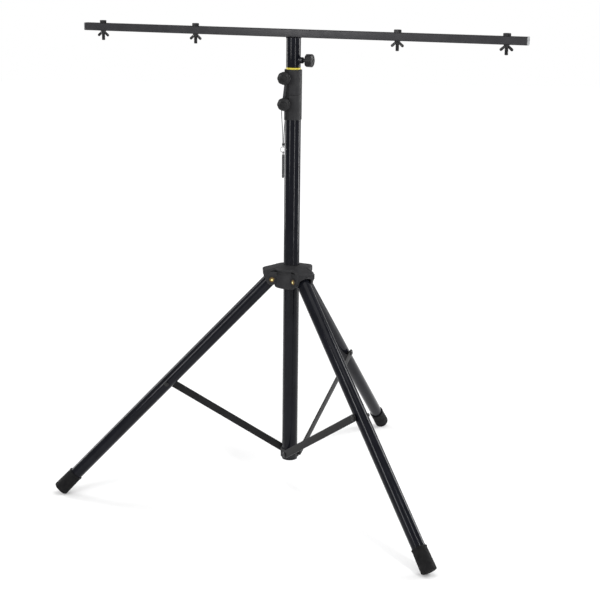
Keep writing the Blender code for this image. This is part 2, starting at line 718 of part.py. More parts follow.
def make_ring():
    profile = [
        (TOP_RADIUS + GAP, ring_foot),
        (RING_RADIUS, ring_foot),
        (RING_RADIUS, ring_foot + RING_HEIGHT),
        (TOP_RADIUS + GAP, ring_foot + RING_HEIGHT),
    ]
    ring = make_object("clamp_ring", turned(profile, hollow=True), yellow)
    move_origin(ring, middle_section.matrix_world.translation)
    return place(ring, middle_section)


def make_sleeve():
    """The socket of the T-bar. Its roof carries the bar and its boss the tightening knob."""
    sleeve = make_object("tbar_sleeve", rod(SLEEVE_RADIUS, 0, SLEEVE_HEIGHT, TUBE_SIDES), coated)
    place(sleeve, swivel)
    knob_spot = (0, 0, SLEEVE_KNOB_HEIGHT)
    join(sleeve, rod(SLEEVE_BOSS_RADIUS, 0, SLEEVE_BOSS_REACH), swivel, knob_spot, along((1, 0, 0)))
    cut(sleeve, rod(TOP_RADIUS + GAP, -SLEEVE_HEIGHT, SLEEVE_HEIGHT - SLEEVE_ROOF, TUBE_SIDES), swivel)
    hole = rod(SCREW_RADIUS + GAP, 0, 2 * SLEEVE_BOSS_REACH)
    return cut(sleeve, hole, swivel, knob_spot, along((1, 0, 0)))


def square(half, corner):
    """A square outline with rounded corners."""
    outline = []
    inset = half - corner
    for index, (x, y) in enumerate(((inset, inset), (-inset, inset), (-inset, -inset), (inset, -inset))):
        outline += arc((x, y), corner, 90 * index, 90 * index + 90, 3)
    return outline


def make_bar():
    half = BAR_LENGTH / 2 - BAR_CAP - GAP
    bar = make_object("tbar", prism(square(BAR_SIDE / 2, BAR_CORNER), -half, half, "XY"), bar_paint)
    place(bar, bar_frame, (0, 0, BAR_SIDE / 2), along((1, 0, 0)))
    inside = square(BAR_SIDE / 2 - BAR_WALL, BAR_CORNER / 2)
    bore = prism(inside, -BAR_LENGTH, BAR_LENGTH, "XY")
    cut(bar, bore, bar_frame, (0, 0, BAR_SIDE / 2), along((1, 0, 0)))
    for station in bolt_stations:
        cut(bar, rod(STUD_RADIUS + 2 * GAP, -BAR_SIDE, 2 * BAR_SIDE), bar_frame, (station, 0, 0))
    return bar


def make_bar_cap(name, side):
    plug = square(BAR_SIDE / 2 - BAR_WALL - GAP, BAR_CORNER / 2)
    cap = make_object(name, prism(square(BAR_SIDE / 2, BAR_CORNER), GAP, GAP + BAR_CAP, "XY"), cap_grey)
    end = BAR_LENGTH / 2 - BAR_CAP - GAP
    place(cap, bar_frame, (side * end, 0, BAR_SIDE / 2), along((side, 0, 0)))
    spigot = prism(plug, -BAR_CAP_SPIGOT, GAP + BAR_CAP / 2, "XY")
    return join(cap, spigot, bar_frame, (side * end, 0, BAR_SIDE / 2), along((side, 0, 0)))


def make_fixture_bolt(name, station):
    """A hexagon bolt from the top of the bar. Its origin is on the bar's top face."""
    corners = HEX_ACROSS_FLATS / math.sqrt(3)
    head = [
        (0, GAP),
        (corners - HEX_CHAMFER / 2, GAP),
        (corners, GAP + HEX_CHAMFER / 2),
        (corners, GAP + HEX_HEIGHT - HEX_CHAMFER / 2),
        (corners - HEX_CHAMFER, GAP + HEX_HEIGHT),
        (0, GAP + HEX_HEIGHT),
    ]
    tip = -BAR_SIDE - STUD_BELOW_BAR
    stud = [
        (0, tip),
        (0.8 * STUD_RADIUS, tip),
        (STUD_RADIUS, tip + 0.2 * STUD_RADIUS),
        (STUD_RADIUS, GAP + HEX_HEIGHT / 2),
        (0, GAP + HEX_HEIGHT / 2),
    ]
    bolt = make_object(name, turned(head, 6), steel)
    place(bolt, bar_frame, (station, 0, BAR_SIDE))
    return join(bolt, turned(stud, SMALL_SIDES), bar_frame, (station, 0, BAR_SIDE))


def make_wing_nut(name, station):
    """A wing nut below the bar, with its wings along the bar. Its origin is on the underside."""
    body = [(0, -NUT_HEIGHT), (NUT_FOOT_RADIUS, -NUT_HEIGHT), (NUT_TOP_RADIUS, -GAP), (0, -GAP)]
    nut = make_object(name, turned(body, SMALL_SIDES), steel)
    place(nut, bar_frame, (station, 0, 0))
    for side in (1, -1):
        root = (side * (NUT_TOP_RADIUS - WING_ROOT_RADIUS), -NUT_HEIGHT / 2)
        tip = (side * (WING_SPAN / 2 - WING_TIP_RADIUS), WING_TIP_RADIUS - WING_DROP)
        wing = arc(root, WING_ROOT_RADIUS, 0, 330, 11) + arc(tip, WING_TIP_RADIUS, 0, 330, 11)
        shape = prism(hull_outline(wing), -WING_THICKNESS / 2, WING_THICKNESS / 2)
        join(nut, shape, bar_frame, (station, 0, 0))
    bore = rod(STUD_RADIUS + GAP, -2 * WING_DROP, NUT_HEIGHT)
    return cut(nut, bore, bar_frame, (station, 0, 0))


def make_strap():
    """A flat strap that hangs from the neck of the upper clamp's knob."""
    front = lanyard_plane - STRAP_THICKNESS / 2
    back = lanyard_plane + STRAP_THICKNESS / 2
    half = STRAP_WIDTH / 2
    tail = [
        (STRAP_LEAN - half, -STRAP_HEAD_RADIUS / 2),
        (STRAP_LEAN + half, -STRAP_HEAD_RADIUS / 2),
        (half, -STRAP_DROP),
        (-half, -STRAP_DROP),
    ]
    knob_spot = (CLAMP_KNOB_X, 0, upper_knob_height)
    strap = make_object("lanyard_strap", prism(tail, front, back), webbing)
    place(strap, None, knob_spot)
    join(strap, rod(STRAP_HEAD_RADIUS, -back, -front), None, knob_spot, along((0, -1, 0)))
    hole = rod(KNOB_NECK_RADIUS + 2 * GAP, -2 * back, 0)
    hole_spot = (CLAMP_KNOB_X, 0, upper_knob_height)
    cut(strap, hole, None, hole_spot, along((0, -1, 0)))
    offset = middle_section.matrix_world.translation - Vector(knob_spot)
    move_origin(strap, offset)
    return place(strap, middle_section)


def make_cord():
    """One cord, looped over the neck of the lower clamp's knob, with both ends at the ferrule."""
    wrap = KNOB_NECK_RADIUS + GAP + CORD_DIAMETER / 2
    step = 3 * CORD_DIAMETER
    foot = -CORD_DROP + GAP
    count = round(-foot / step)
    strand = []
    for index in range(count + 1):
        rise = index / count
        eased = max(0.0, (rise - CORD_PARALLEL) / (1 - CORD_PARALLEL))
        eased = eased * eased * (3 - 2 * eased)
        width = CORD_STRAND_GAP / 2 + (wrap - CORD_STRAND_GAP / 2) * eased
        strand.append((width, foot * (1 - rise)))
    crown = arc((0, 0), wrap, 180, 0, 6)[1:-1]
    route = [(-x, z) for x, z in strand] + crown + strand[::-1]
    curve = bpy.data.curves.new("lanyard_cord", "CURVE")
    curve.dimensions = "3D"
    curve.bevel_depth = CORD_DIAMETER / 2
    curve.bevel_resolution = 2
    curve.use_fill_caps = True
    spline = curve.splines.new("POLY")
    spline.points.add(len(route) - 1)
    for point, (x, z) in zip(spline.points, route):
        point.co = (x, 0, z, 1)
    curve.materials.append(webbing)
    cord = bpy.data.objects.new("lanyard_cord", curve)
    bpy.context.collection.objects.link(cord)
    return place(cord, lanyard)


def wire_ring(radius, wire, sides=SMALL_SIDES):
    return turned(arc((radius, 0), wire, 0, 300, 5), sides, hollow=True)


def make_ferrule():
    low = -CORD_DROP - FERRULE_HEIGHT
    profile = [
        (0, low),
        (FERRULE_RADIUS - FERRULE_EDGE, low),
        (FERRULE_RADIUS, low + FERRULE_EDGE),
        (FERRULE_RADIUS, -CORD_DROP - FERRULE_EDGE),
        (FERRULE_RADIUS - FERRULE_EDGE, -CORD_DROP),
        (0, -CORD_DROP),
    ]
    ferrule = place(make_object("lanyard_ferrule", turned(profile, SMALL_SIDES), chrome), lanyard)
    return join(ferrule, wire_ring(EYE_RADIUS, EYE_WIRE), lanyard, (0, 0, eye_height), along((1, 0, 0)))


def make_split_ring():
    ring = make_object("split_ring", wire_ring(SPLIT_RING_RADIUS, SPLIT_RING_WIRE, KNOB_SIDES), chrome)
    return place(ring, lanyard, (0, 0, ring_height), along((0, 1, 0)))


def make_pin():
    """The safety pin hangs by a cross hole in its flattened head."""
    tip = PIN_HEAD - PIN_LENGTH
    profile = [
        (0, tip),
        (0.45 * PIN_RADIUS, tip + 0.12 * PIN_POINT),
        (0.8 * PIN_RADIUS, tip + 0.4 * PIN_POINT),
        (PIN_RADIUS, tip + PIN_POINT),
        (PIN_RADIUS, PIN_HEAD - 0.5 * PIN_RADIUS),
        (0.7 * PIN_RADIUS, PIN_HEAD),
        (0, PIN_HEAD),
    ]
    spot = (0, 0, pin_height)
    pin = place(make_object("safety_pin", turned(profile, SMALL_SIDES), pin_black), lanyard, spot)
    shoulder = PIN_HEAD - PIN_TAB_HEIGHT
    for side in (1, -1):
        low = min(side * PIN_TAB / 2, side * 2 * PIN_RADIUS)
        high = max(side * PIN_TAB / 2, side * 2 * PIN_RADIUS)
        flat = box((low, -2 * PIN_RADIUS, shoulder), (high, 2 * PIN_RADIUS, 2 * PIN_HEAD))
        cut(pin, flat, lanyard, spot)
    hole = rod(PIN_HOLE_RADIUS, -2 * PIN_RADIUS, 2 * PIN_RADIUS)
    return cut(pin, hole, lanyard, spot, along((1, 0, 0)))


clear_scene()

coated = make_material("coated_tube", (0.012, 0.013, 0.017), 0.22, 0.0)
plastic = make_material("black_plastic", (0.030, 0.030, 0.031), 0.50, 0.0)
bar_paint = make_material("satin_grey_black", (0.040, 0.041, 0.044), 0.40, 0.0)
cap_grey = make_material("end_cap_grey", (0.32, 0.33, 0.34), 0.55, 0.0)
rubber = make_material("rubber_feet", (0.016, 0.016, 0.016), 0.80, 0.0)
yellow = make_material("amber_plastic", (0.80, 0.42, 0.02), 0.45, 0.0)
steel = make_material("blackened_steel", (0.045, 0.045, 0.047), 0.45, 0.8)
chrome = make_material("bright_wire", (0.62, 0.63, 0.65), 0.22, 1.0)
webbing = make_material("black_lanyard", (0.018, 0.018, 0.020), 0.65, 0.0)
pin_black = make_material("black_pin", (0.014, 0.014, 0.016), 0.35, 0.0)

# The joints' frames
lock_azimuth = leg_azimuths[0] - math.radians(60.0)
lock_direction = (math.cos(lock_azimuth), math.sin(lock_azimuth), 0)
bar_turn = math.radians(BAR_AZIMUTH)
eye_height = -CORD_DROP - FERRULE_HEIGHT - EYE_RADIUS + EYE_WIRE
ring_height = (
    eye_height - EYE_RADIUS + EYE_WIRE + GAP + SPLIT_RING_WIRE - SPLIT_RING_RADIUS
)
pin_height = ring_height - SPLIT_RING_RADIUS + SPLIT_RING_WIRE + GAP - PIN_HOLE_RADIUS

column = make_frame("column")
carriage = make_frame("hub_carriage", column, (0, 0, pivot_height))
middle_section = make_frame("middle_section", column, (0, 0, upper_clamp_foot))
top_section = make_frame("top_section", middle_section, (0, 0, ring_foot - upper_clamp_foot))
bpy.context.view_layer.update()
swivel = make_frame("tbar_swivel", top_section, (0, 0, sleeve_foot - ring_foot), bar_turn)
bar_frame = make_frame("bar_frame", swivel, (0, 0, bar_foot - sleeve_foot))
lanyard = make_frame("lanyard", column, (CLAMP_KNOB_X, lanyard_plane, lower_knob_height))
bpy.context.view_layer.update()

# The column's foot and its braces
make_main_tube()
make_end_cap()
make_brace_collar()
for side, azimuth in zip(LEG_NAMES, leg_azimuths):
    radial = Matrix.Rotation(azimuth, 4, "Z")
    foot_spot = radial @ Vector((COLLAR_PIVOT_RADIUS, 0, collar_height))
    brace_frame = make_frame("brace_hinge_" + side, column, foot_spot, azimuth, -brace_slope)
    bpy.context.view_layer.update()
    make_brace("brace_" + side, brace_frame)
    make_brace_rivet("brace_rivet_" + side, brace_frame)
    make_collar_bolt("collar_bolt_" + side, azimuth)

# The hub and its legs
make_hub()
for side, azimuth in zip(LEG_NAMES, leg_azimuths):
    radial = Matrix.Rotation(azimuth, 4, "Z")
    hub_spot = radial @ Vector((HUB_PIVOT_RADIUS, 0, 0))
    upright = make_frame("leg_socket_" + side, carriage, hub_spot, azimuth)
    leg_frame = make_frame("leg_hinge_" + side, carriage, hub_spot, azimuth, -spread)
    bpy.context.view_layer.update()
    make_pivot_bolt("leg_pivot_bolt_" + side, upright)
    make_leg_cap("leg_cap_" + side + "_1", upright, 1)
    make_leg_cap("leg_cap_" + side + "_2", upright, -1)
    make_leg("leg_" + side, leg_frame)
    make_foot("foot_" + side, leg_frame)
    make_leg_bolt("brace_bolt_" + side, leg_frame)
hub_screw = HUB_KNOB_REACH - MAIN_RADIUS - GAP
hub_knob_spot = Vector(lock_direction) * HUB_KNOB_REACH - Vector((0, 0, HUB_KNOB_DROP))
make_knob("hub_lock_knob", carriage, hub_knob_spot, lock_direction, hub_screw)

# The telescopic sections
make_nested_tube("middle_tube", middle_section, MIDDLE_RADIUS, MIDDLE_WALL, middle_foot, middle_top)
make_nested_tube("top_tube", top_section, TOP_RADIUS, TOP_WALL, top_foot, top_top)
main_bore = MAIN_RADIUS - MAIN_WALL
middle_bore = MIDDLE_RADIUS - MIDDLE_WALL
make_bush("middle_bush", middle_section, MIDDLE_RADIUS, MIDDLE_WALL, main_bore, middle_foot)
make_bush("top_bush", top_section, TOP_RADIUS, TOP_WALL, middle_bore, top_foot)
make_clamp(
    "lower_clamp", column, lower_clamp_foot,
    MAIN_RADIUS, LOWER_CLAMP_SEAT, MIDDLE_RADIUS, lower_knob_height,
)
make_clamp(
    "upper_clamp", middle_section, upper_clamp_foot,
    MIDDLE_RADIUS, UPPER_CLAMP_SEAT, TOP_RADIUS, upper_knob_height,
)
for name, height, section in (
    ("lower_knob", lower_knob_height, column),
    ("upper_knob", upper_knob_height - upper_clamp_foot, middle_section),
):
    make_knob(name, section, (CLAMP_KNOB_X, -CLAMP_FRONT, height), (0, -1, 0), 2 * CLAMP_FRONT)
make_ring()

# The T-bar and what is bolted to it
make_sleeve()
sleeve_screw = SLEEVE_BOSS_REACH - TOP_RADIUS - GAP
make_knob(
    "tbar_knob", swivel, (SLEEVE_BOSS_REACH, 0, SLEEVE_KNOB_HEIGHT),
    (1, 0, 0), sleeve_screw, SLEEVE_KNOB_DISC,
)
make_bar()
make_bar_cap("bar_cap_left", -1)
make_bar_cap("bar_cap_right", 1)
for number, station in enumerate(bolt_stations, 1):
    make_fixture_bolt("fixture_bolt_" + str(number), station)
    make_wing_nut("wing_nut_" + str(number), station)

# The safety pin
make_strap()
make_cord()
make_ferrule()
make_split_ring()
make_pin()
bpy.context.view_layer.update()
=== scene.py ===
# Light stand with a T-bar: its looks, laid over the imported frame. Metres, +Z up.
import json
from math import asin, atan2, cos, degrees, hypot, pi, radians, sin, sqrt, tan, tanh

import bmesh
import bpy
from mathutils import Matrix, Vector

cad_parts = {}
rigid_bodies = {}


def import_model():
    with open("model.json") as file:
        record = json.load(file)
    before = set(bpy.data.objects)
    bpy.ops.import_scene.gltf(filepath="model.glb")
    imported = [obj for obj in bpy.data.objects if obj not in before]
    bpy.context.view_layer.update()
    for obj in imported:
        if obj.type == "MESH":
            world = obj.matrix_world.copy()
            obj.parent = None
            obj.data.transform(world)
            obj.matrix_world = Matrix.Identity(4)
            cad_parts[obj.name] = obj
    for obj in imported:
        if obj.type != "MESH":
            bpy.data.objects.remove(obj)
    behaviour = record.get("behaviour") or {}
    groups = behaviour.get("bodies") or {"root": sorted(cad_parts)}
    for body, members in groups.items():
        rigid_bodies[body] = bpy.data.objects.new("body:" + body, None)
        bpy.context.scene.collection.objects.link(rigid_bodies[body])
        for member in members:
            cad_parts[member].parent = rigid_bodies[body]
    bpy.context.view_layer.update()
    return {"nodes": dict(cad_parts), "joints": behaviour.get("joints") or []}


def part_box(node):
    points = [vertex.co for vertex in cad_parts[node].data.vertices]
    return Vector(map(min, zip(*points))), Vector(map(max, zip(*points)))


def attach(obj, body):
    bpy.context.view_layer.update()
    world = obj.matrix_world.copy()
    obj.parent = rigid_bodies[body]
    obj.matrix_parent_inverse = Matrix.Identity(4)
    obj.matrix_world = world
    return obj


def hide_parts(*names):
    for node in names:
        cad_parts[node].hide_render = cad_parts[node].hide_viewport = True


for old in list(bpy.data.objects):  # start with nothing
    bpy.data.objects.remove(old, do_unlink=True)
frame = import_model()
joints = {joint["name"]: joint for joint in frame["joints"]}

gap = 0.0003  # between pieces that touch, turn or slide on each other
screw = 0.0030  # the radius of every knob's screw
crease = 38  # faces that meet at more degrees than this keep a sharp edge


# The camera

viewpoint = {
    "lens": 82.2, "sensor": 36.0, "spot": (0.0, -3.515, 1.4318),
    "pitchDown": 0.248, "panRight": 0.0067, "roll": 0.0115,
}


def setCamera():
    pan, pitch, roll = (viewpoint[key] for key in ("panRight", "pitchDown", "roll"))
    forward = Vector((sin(pan) * cos(pitch), cos(pan) * cos(pitch), -sin(pitch)))
    level = Vector((cos(pan), -sin(pan), 0))
    upright = level.cross(forward)
    right = cos(roll) * level + sin(roll) * upright
    up = cos(roll) * upright - sin(roll) * level
    lens = bpy.data.cameras.new("viewCamera")
    lens.lens = viewpoint["lens"]
    lens.sensor_width = viewpoint["sensor"]
    camera = bpy.data.objects.new("viewCamera", lens)
    bpy.context.collection.objects.link(camera)
    turn = Matrix((right, up, -forward)).transposed().to_4x4()
    camera.matrix_world = Matrix.Translation(viewpoint["spot"]) @ turn
    bpy.context.scene.camera = camera


setCamera()
bpy.context.scene.view_settings.view_transform = "Standard"
print("camera set")


# Shape helpers. Every mesh is made where it belongs, in world metres.

def asPiece(name, shape, creaseAngle=crease):
    bmesh.ops.recalc_face_normals(shape, faces=shape.faces)
    mesh = bpy.data.meshes.new(name)
    shape.to_mesh(mesh)
    shape.free()
    mesh.shade_smooth()
    mesh.set_sharp_from_angle(angle=radians(creaseAngle))
    piece = bpy.data.objects.new(name, mesh)
    bpy.context.collection.objects.link(piece)
    return piece


def arcPoints(centre, radius, start, end, steps):
    points = []
    for step in range(steps + 1):
        angle = radians(start + (end - start) * step / steps)
        points.append((centre[0] + radius * cos(angle), centre[1] + radius * sin(angle)))
    return points


def filleted(corners, steps=4, closed=False):
    # corners are (x, y, radius); a radius of 0 stays sharp
    points = []
    for index, (x, y, radius) in enumerate(corners):
        here = Vector((x, y))
        if radius == 0 or (not closed and index in (0, len(corners) - 1)):
            points.append((x, y))
            continue
        back = Vector(corners[index - 1][:2]) - here
        ahead = Vector(corners[(index + 1) % len(corners)][:2]) - here
        reach = min(radius / tan(back.angle(ahead) / 2), 0.49 * back.length, 0.49 * ahead.length)
        start, end = here + back.normalized() * reach, here + ahead.normalized() * reach
        for step in range(steps + 1):
            share = step / steps
            spot = start * (1 - share) ** 2 + here * 2 * share * (1 - share) + end * share**2
            points.append((spot.x, spot.y))
    return points


def lathe(profile, sides, closed=False, drawn=None):
    # profile is (radius, height); drawn(index, angle) pulls a point in, for flutes and threads
    shape = bmesh.new()
    rings = []
    for index, (radius, height) in enumerate(profile):
        if radius == 0:
            rings.append([shape.verts.new((0, 0, height))] * sides)
            continue
        ring = []
        for side in range(sides):
            angle = 2 * pi * side / sides
            reach = radius - (drawn(index, angle) if drawn else 0)
            ring.append(shape.verts.new((reach * cos(angle), reach * sin(angle), height)))
        rings.append(ring)
    for low, high in zip(rings, rings[1:] + rings[:closed]):
        for side in range(sides):
            corners = [low[side], low[side - 1], high[side - 1], high[side]]
            shape.faces.new(list(dict.fromkeys(corners)))
    return shape


def spun(corners, steps, sides, closed=False):
    # a turned solid with rounded corners; what starts or ends off the axis is closed towards it
    if not closed:
        foot, top = corners[0], corners[-1]
        corners = [(0, foot[1], 0)] * (foot[0] != 0) + corners + [(0, top[1], 0)] * (top[0] != 0)
    return lathe(filleted(corners, steps, closed), sides, closed)


def rod(radius, low, high, sides):
    return lathe([(0, low), (radius, low), (radius, high), (0, high)], sides)


def skinned(shape, rings):
    # faces between rings that have as many points each
    for lower, upper in zip(rings, rings[1:]):
        for index in range(len(lower)):
            shape.faces.new([lower[index - 1], lower[index], upper[index], upper[index - 1]])
    return shape


def pulledIn(outline, distance):
    # an outline moved towards its inside; it runs anticlockwise
    inner = []
    for index, here in enumerate(outline):
        spot = Vector(here)
        before = (spot - Vector(outline[index - 1])).normalized()
        after = (Vector(outline[(index + 1) % len(outline)]) - spot).normalized()
        inward = Vector((-before.y - after.y, before.x + after.x))
        inward = inward.normalized() if inward.length > 1e-9 else Vector((-before.y, before.x))
        lean = max(0.5, inward.dot(Vector((-before.y, before.x))))
        inner.append(tuple(spot + inward * distance / lean))
    return inner


def slab(outline, low, high, edge=0.0, steps=3):
    # an outline in XY with depth along Z and rounded edges
    levels = [(0.0, low), (0.0, high)]
    if edge > 0:
        foot = []
        for step in range(steps + 1):
            angle = radians(90 * step / steps)
            foot.append((edge * (1 - sin(angle)), low + edge * (1 - cos(angle))))
        levels = foot + [(inset, low + high - height) for inset, height in reversed(foot)]
    shape = bmesh.new()
    rings = []
    for inset, height in levels:
        ring = pulledIn(outline, inset) if inset > 0 else outline
        rings.append([shape.verts.new((x, y, height)) for x, y in ring])
    shape.faces.new(rings[0][::-1])
    shape.faces.new(rings[-1])
    return skinned(shape, rings)


def block(low, high):
    # a cutter for booleans
    shape = bmesh.new()
    bmesh.ops.create_cube(shape, size=1.0)
    bmesh.ops.scale(shape, vec=Vector(high) - Vector(low), verts=shape.verts)
    bmesh.ops.translate(shape, vec=(Vector(high) + Vector(low)) / 2, verts=shape.verts)
    return shape


def sweep(points, radius, sides=12, closed=False, radii=None):
    # a round section along a line, with UVs in metres: across the skin, then along the line
    shape = bmesh.new()
    skin = shape.loops.layers.uv.new("UVMap")
    spots = [Vector(point) for point in points]
    count = len(spots)
    rings, lengths, run = [], [], 0.0
    side = None
    for index, spot in enumerate(spots):
        before = spots[index - 1] if closed or index else spot
        after = spots[(index + 1) % count] if closed or index < count - 1 else spot
        heading = (after - before).normalized()
        if side is None:
            side = heading.orthogonal().normalized()
        side = (side - heading * side.dot(heading)).normalized()
        other = heading.cross(side)
        run += (spot - spots[index - 1]).length if index else 0.0
        lengths.append(run)
        reach = radii[index] if radii else radius
        ring = []
        for turn in range(sides):
            angle = 2 * pi * turn / sides
            ring.append(shape.verts.new(spot + (side * cos(angle) + other * sin(angle)) * reach))
        rings.append(ring)
    last = count if closed else count - 1
    for index in range(last):
        lower, upper = rings[index], rings[(index + 1) % count]
        ahead = lengths[(index + 1) % count] if index < count - 1 else run
        for turn in range(sides):
            face = shape.faces.new([lower[turn - 1], lower[turn], upper[turn], upper[turn - 1]])
            around = 2 * pi * radius / sides
            left, right = (turn - 1) % sides * around, ((turn - 1) % sides + 1) * around
            places = ((left, lengths[index]), (right, lengths[index]), (right, ahead), (left, ahead))
            for loop, place in zip(face.loops, places):
                loop[skin].uv = place
    if not closed:
        shape.faces.new(rings[0][::-1])
        shape.faces.new(rings[-1])
    return shape


def moved(shape, place):
    bmesh.ops.transform(shape, matrix=place, verts=shape.verts)
    return shape


def carve(piece, shape, how="DIFFERENCE"):
    # cuts, welds or trims a piece with a shape, which is used up
    # done a thousand times larger, and with its faces split, which keeps the result closed
    larger, near = 1000, 0.0005
    tool = asPiece("tool", shape)
    for item in (piece, tool):
        item.data.transform(Matrix.Scale(larger, 4))
    step = piece.modifiers.new(how, "BOOLEAN")
    step.operation, step.solver, step.object = how, "EXACT", tool
    graph = bpy.context.evaluated_depsgraph_get()
    result = bpy.data.meshes.new_from_object(piece.evaluated_get(graph))
    piece.modifiers.clear()
    clean = bmesh.new()
    clean.from_mesh(result)
    bmesh.ops.remove_doubles(clean, verts=clean.verts, dist=near)
    bmesh.ops.dissolve_degenerate(clean, edges=clean.edges, dist=near)
    bmesh.ops.triangulate(clean, faces=[face for face in clean.faces if len(face.verts) > 4])
    clean.to_mesh(result)
    clean.free()
    result.transform(Matrix.Scale(1 / larger, 4))
    piece.data = result
    toolMesh = tool.data
    bpy.data.objects.remove(tool, do_unlink=True)
    bpy.data.meshes.remove(toolMesh)
    result.shade_smooth()
    result.set_sharp_from_angle(angle=radians(crease))


def weld(piece, shape, place=Matrix()):
    carve(piece, moved(shape, place), "UNION")


def drill(piece, place, radius, low, high, sides=32):
    # a round hole along a place's own Z
    carve(piece, moved(rod(radius, low, high, sides), place))


def upAlong(spot, axis):
    # the place whose own +Z points along an axis
    return Matrix.Translation(spot) @ Vector(axis).to_track_quat("Z", "Y").to_matrix().to_4x4()


def at(x=0, y=0, z=0):
    return Matrix.Translation((x, y, z))


def turned(angle, axis):
    return Matrix.Rotation(radians(angle), 4, axis)


def heightsOf(node):
    return [corner.z for corner in map(Vector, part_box(node))]


def recoat(piece, finish):
    piece.data.materials.clear()
    piece.data.materials.append(paints[finish])


def recoatWhere(piece, finish, chosen):
    # a second finish on the faces that are chosen
    piece.data.materials.append(paints[finish])
    for face in piece.data.polygons:
        face.material_index = int(chosen(face))


def settle(piece, body, finish, *nodes, place=None):
    # the place, the finish, the nodes that the piece stands for and the body that it rides on
    if place is not None:
        piece.data.transform(place)
    piece.data.name = piece.name
    recoat(piece, finish)
    if nodes:
        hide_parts(*nodes)
    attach(piece, body)


# Finishes. Each pattern sits on a piece's own coordinates, in metres. Peel and grit are the
# coarse and the fine unevenness of a skin, as (scale of the pattern, height).

amber = {  # what the amber pieces share
    "slot": "amber_plastic", "mottle": 150, "roughness": (0.30, 0.44), "patches": 220, "specular": 0.4,
    "peel": (2400, 0.00002), "grit": (7000, 0.000006),
}
finishes = {
    "tubeCoat": {
        "slot": "coated_tube", "colour": (0.0042, 0.0045, 0.0068), "tint": (0.0072, 0.0076, 0.0108),
        "mottle": 26, "roughness": (0.12, 0.18), "patches": 60, "specular": 0.12,
        "peel": (240, 0.000005), "grit": (3200, 0.0000008), "coat": (0.04, 0.08),
    },
    "mouldedBlack": {
        "slot": "black_plastic", "colour": (0.0165, 0.0165, 0.0180), "tint": (0.0240, 0.0240, 0.0255),
        "mottle": 70, "roughness": (0.46, 0.60), "patches": 140, "specular": 0.15,
        "peel": (2100, 0.00003), "grit": (6500, 0.000008),
    },
    # the knobs' own black, also used as painted shade on the bar's rounded edges and the clamps' jaws
    "knobBlackAndPaintedShade": {
        "slot": "black_plastic", "colour": (0.0062, 0.0062, 0.0068), "tint": (0.0105, 0.0105, 0.0112),
        "mottle": 80, "roughness": (0.36, 0.50), "patches": 160, "specular": 0.22,
        "peel": (1900, 0.00002), "grit": (6500, 0.000006),
    },
    "satinBar": {
        "slot": "satin_grey_black", "colour": (0.0165, 0.0163, 0.0190), "tint": (0.0250, 0.0245, 0.0275),
        "mottle": 18, "roughness": (0.38, 0.48), "patches": 45, "specular": 0.35,
        "peel": (700, 0.00001), "grit": (4000, 0.000002),
    },
    "braceCoat": {
        "slot": "satin_grey_black", "colour": (0.0050, 0.0050, 0.0055), "tint": (0.0085, 0.0085, 0.0090),
        "mottle": 30, "roughness": (0.27, 0.38), "patches": 60, "specular": 0.16,
        "peel": (1300, 0.00001), "grit": (5200, 0.000003),
    },
    "endCapGrey": {
        "slot": "end_cap_grey", "colour": (0.17, 0.175, 0.18), "tint": (0.24, 0.245, 0.25),
        "mottle": 120, "roughness": (0.48, 0.62), "patches": 160, "specular": 0.25,
        "peel": (2300, 0.00005), "grit": (6500, 0.00002),
    },
    "footRubber": {
        "slot": "rubber_feet", "colour": (0.0036, 0.0036, 0.0042), "tint": (0.0075, 0.0074, 0.0078),
        "mottle": 90, "roughness": (0.58, 0.82), "patches": 110, "specular": 0.13,
        "peel": (1700, 0.00008), "grit": (6000, 0.00003),
    },
    "amberPlastic": {
        **amber, "colour": (0.520, 0.430, 0.026), "tint": (0.610, 0.520, 0.050), "specular": 0.5,
        "peel": (2400, 0.00003), "grit": (7000, 0.00001),
    },
    # a painted highlight and a painted shade for the amber leg caps
    "capPaintedHighlight": {**amber, "colour": (0.700, 0.600, 0.200), "tint": (0.800, 0.720, 0.330)},
    "capPaintedShade": {**amber, "colour": (0.090, 0.046, 0.004), "tint": (0.150, 0.085, 0.010)},
    "blackSteel": {
        "slot": "blackened_steel", "colour": (0.0090, 0.0090, 0.0098), "tint": (0.0210, 0.0210, 0.0220),
        "mottle": 320, "roughness": (0.26, 0.44), "patches": 500, "specular": 0.45, "metallic": 0.45,
        "peel": (2600, 0.00001), "grit": (8000, 0.000003),
    },
    "brightWire": {
        "slot": "bright_wire", "colour": (0.13, 0.132, 0.138), "tint": (0.22, 0.223, 0.23),
        "mottle": 700, "roughness": (0.12, 0.26), "patches": 900, "specular": 0.5, "metallic": 1.0,
        "peel": (3500, 0.00001), "grit": (9000, 0.000005),
    },
    "pinBlack": {
        "slot": "black_pin", "colour": (0.0075, 0.0075, 0.0090), "tint": (0.0160, 0.0160, 0.0180),
        "mottle": 300, "roughness": (0.24, 0.36), "patches": 400, "specular": 0.5,
        "peel": (2400, 0.00002), "grit": (8000, 0.00001),
    },
}
weaves = {  # two rows of threads that cross; an axis is square to each row
    "cordBraid": {
        "slot": "black_lanyard", "colour": (0.0080, 0.0080, 0.0092), "tint": (0.030, 0.030, 0.033),
        "pitch": 0.0011, "along": "UV", "axes": ((0.7, 0.7, 0), (0.7, -0.7, 0)),
    },
    "strapWeave": {
        "slot": "black_lanyard", "colour": (0.0085, 0.0085, 0.0095), "tint": (0.034, 0.034, 0.037),
        "pitch": 0.0009, "along": "Object", "axes": ((0.75, 0, 0.66), (-0.75, 0, 0.66)),
    },
}
thread = {
    "height": 0.00018, "roughness": (0.75, 0.55), "specular": 0.35, "sheen": (0.15, 0.5), "fray": 2600,
}


def fill(tree, node, sockets):
    # outputs are linked to the sockets and values are set on them
    for key, value in sockets.items():
        if isinstance(value, bpy.types.NodeSocket):
            tree.links.new(value, node.inputs[key])
        else:
            node.inputs[key].default_value = value


def addNode(tree, kind, output, sockets, operation=None):
    node = tree.nodes.new("ShaderNode" + kind)
    if operation:
        node.operation = operation
    fill(tree, node, sockets)
    return node.outputs[output]


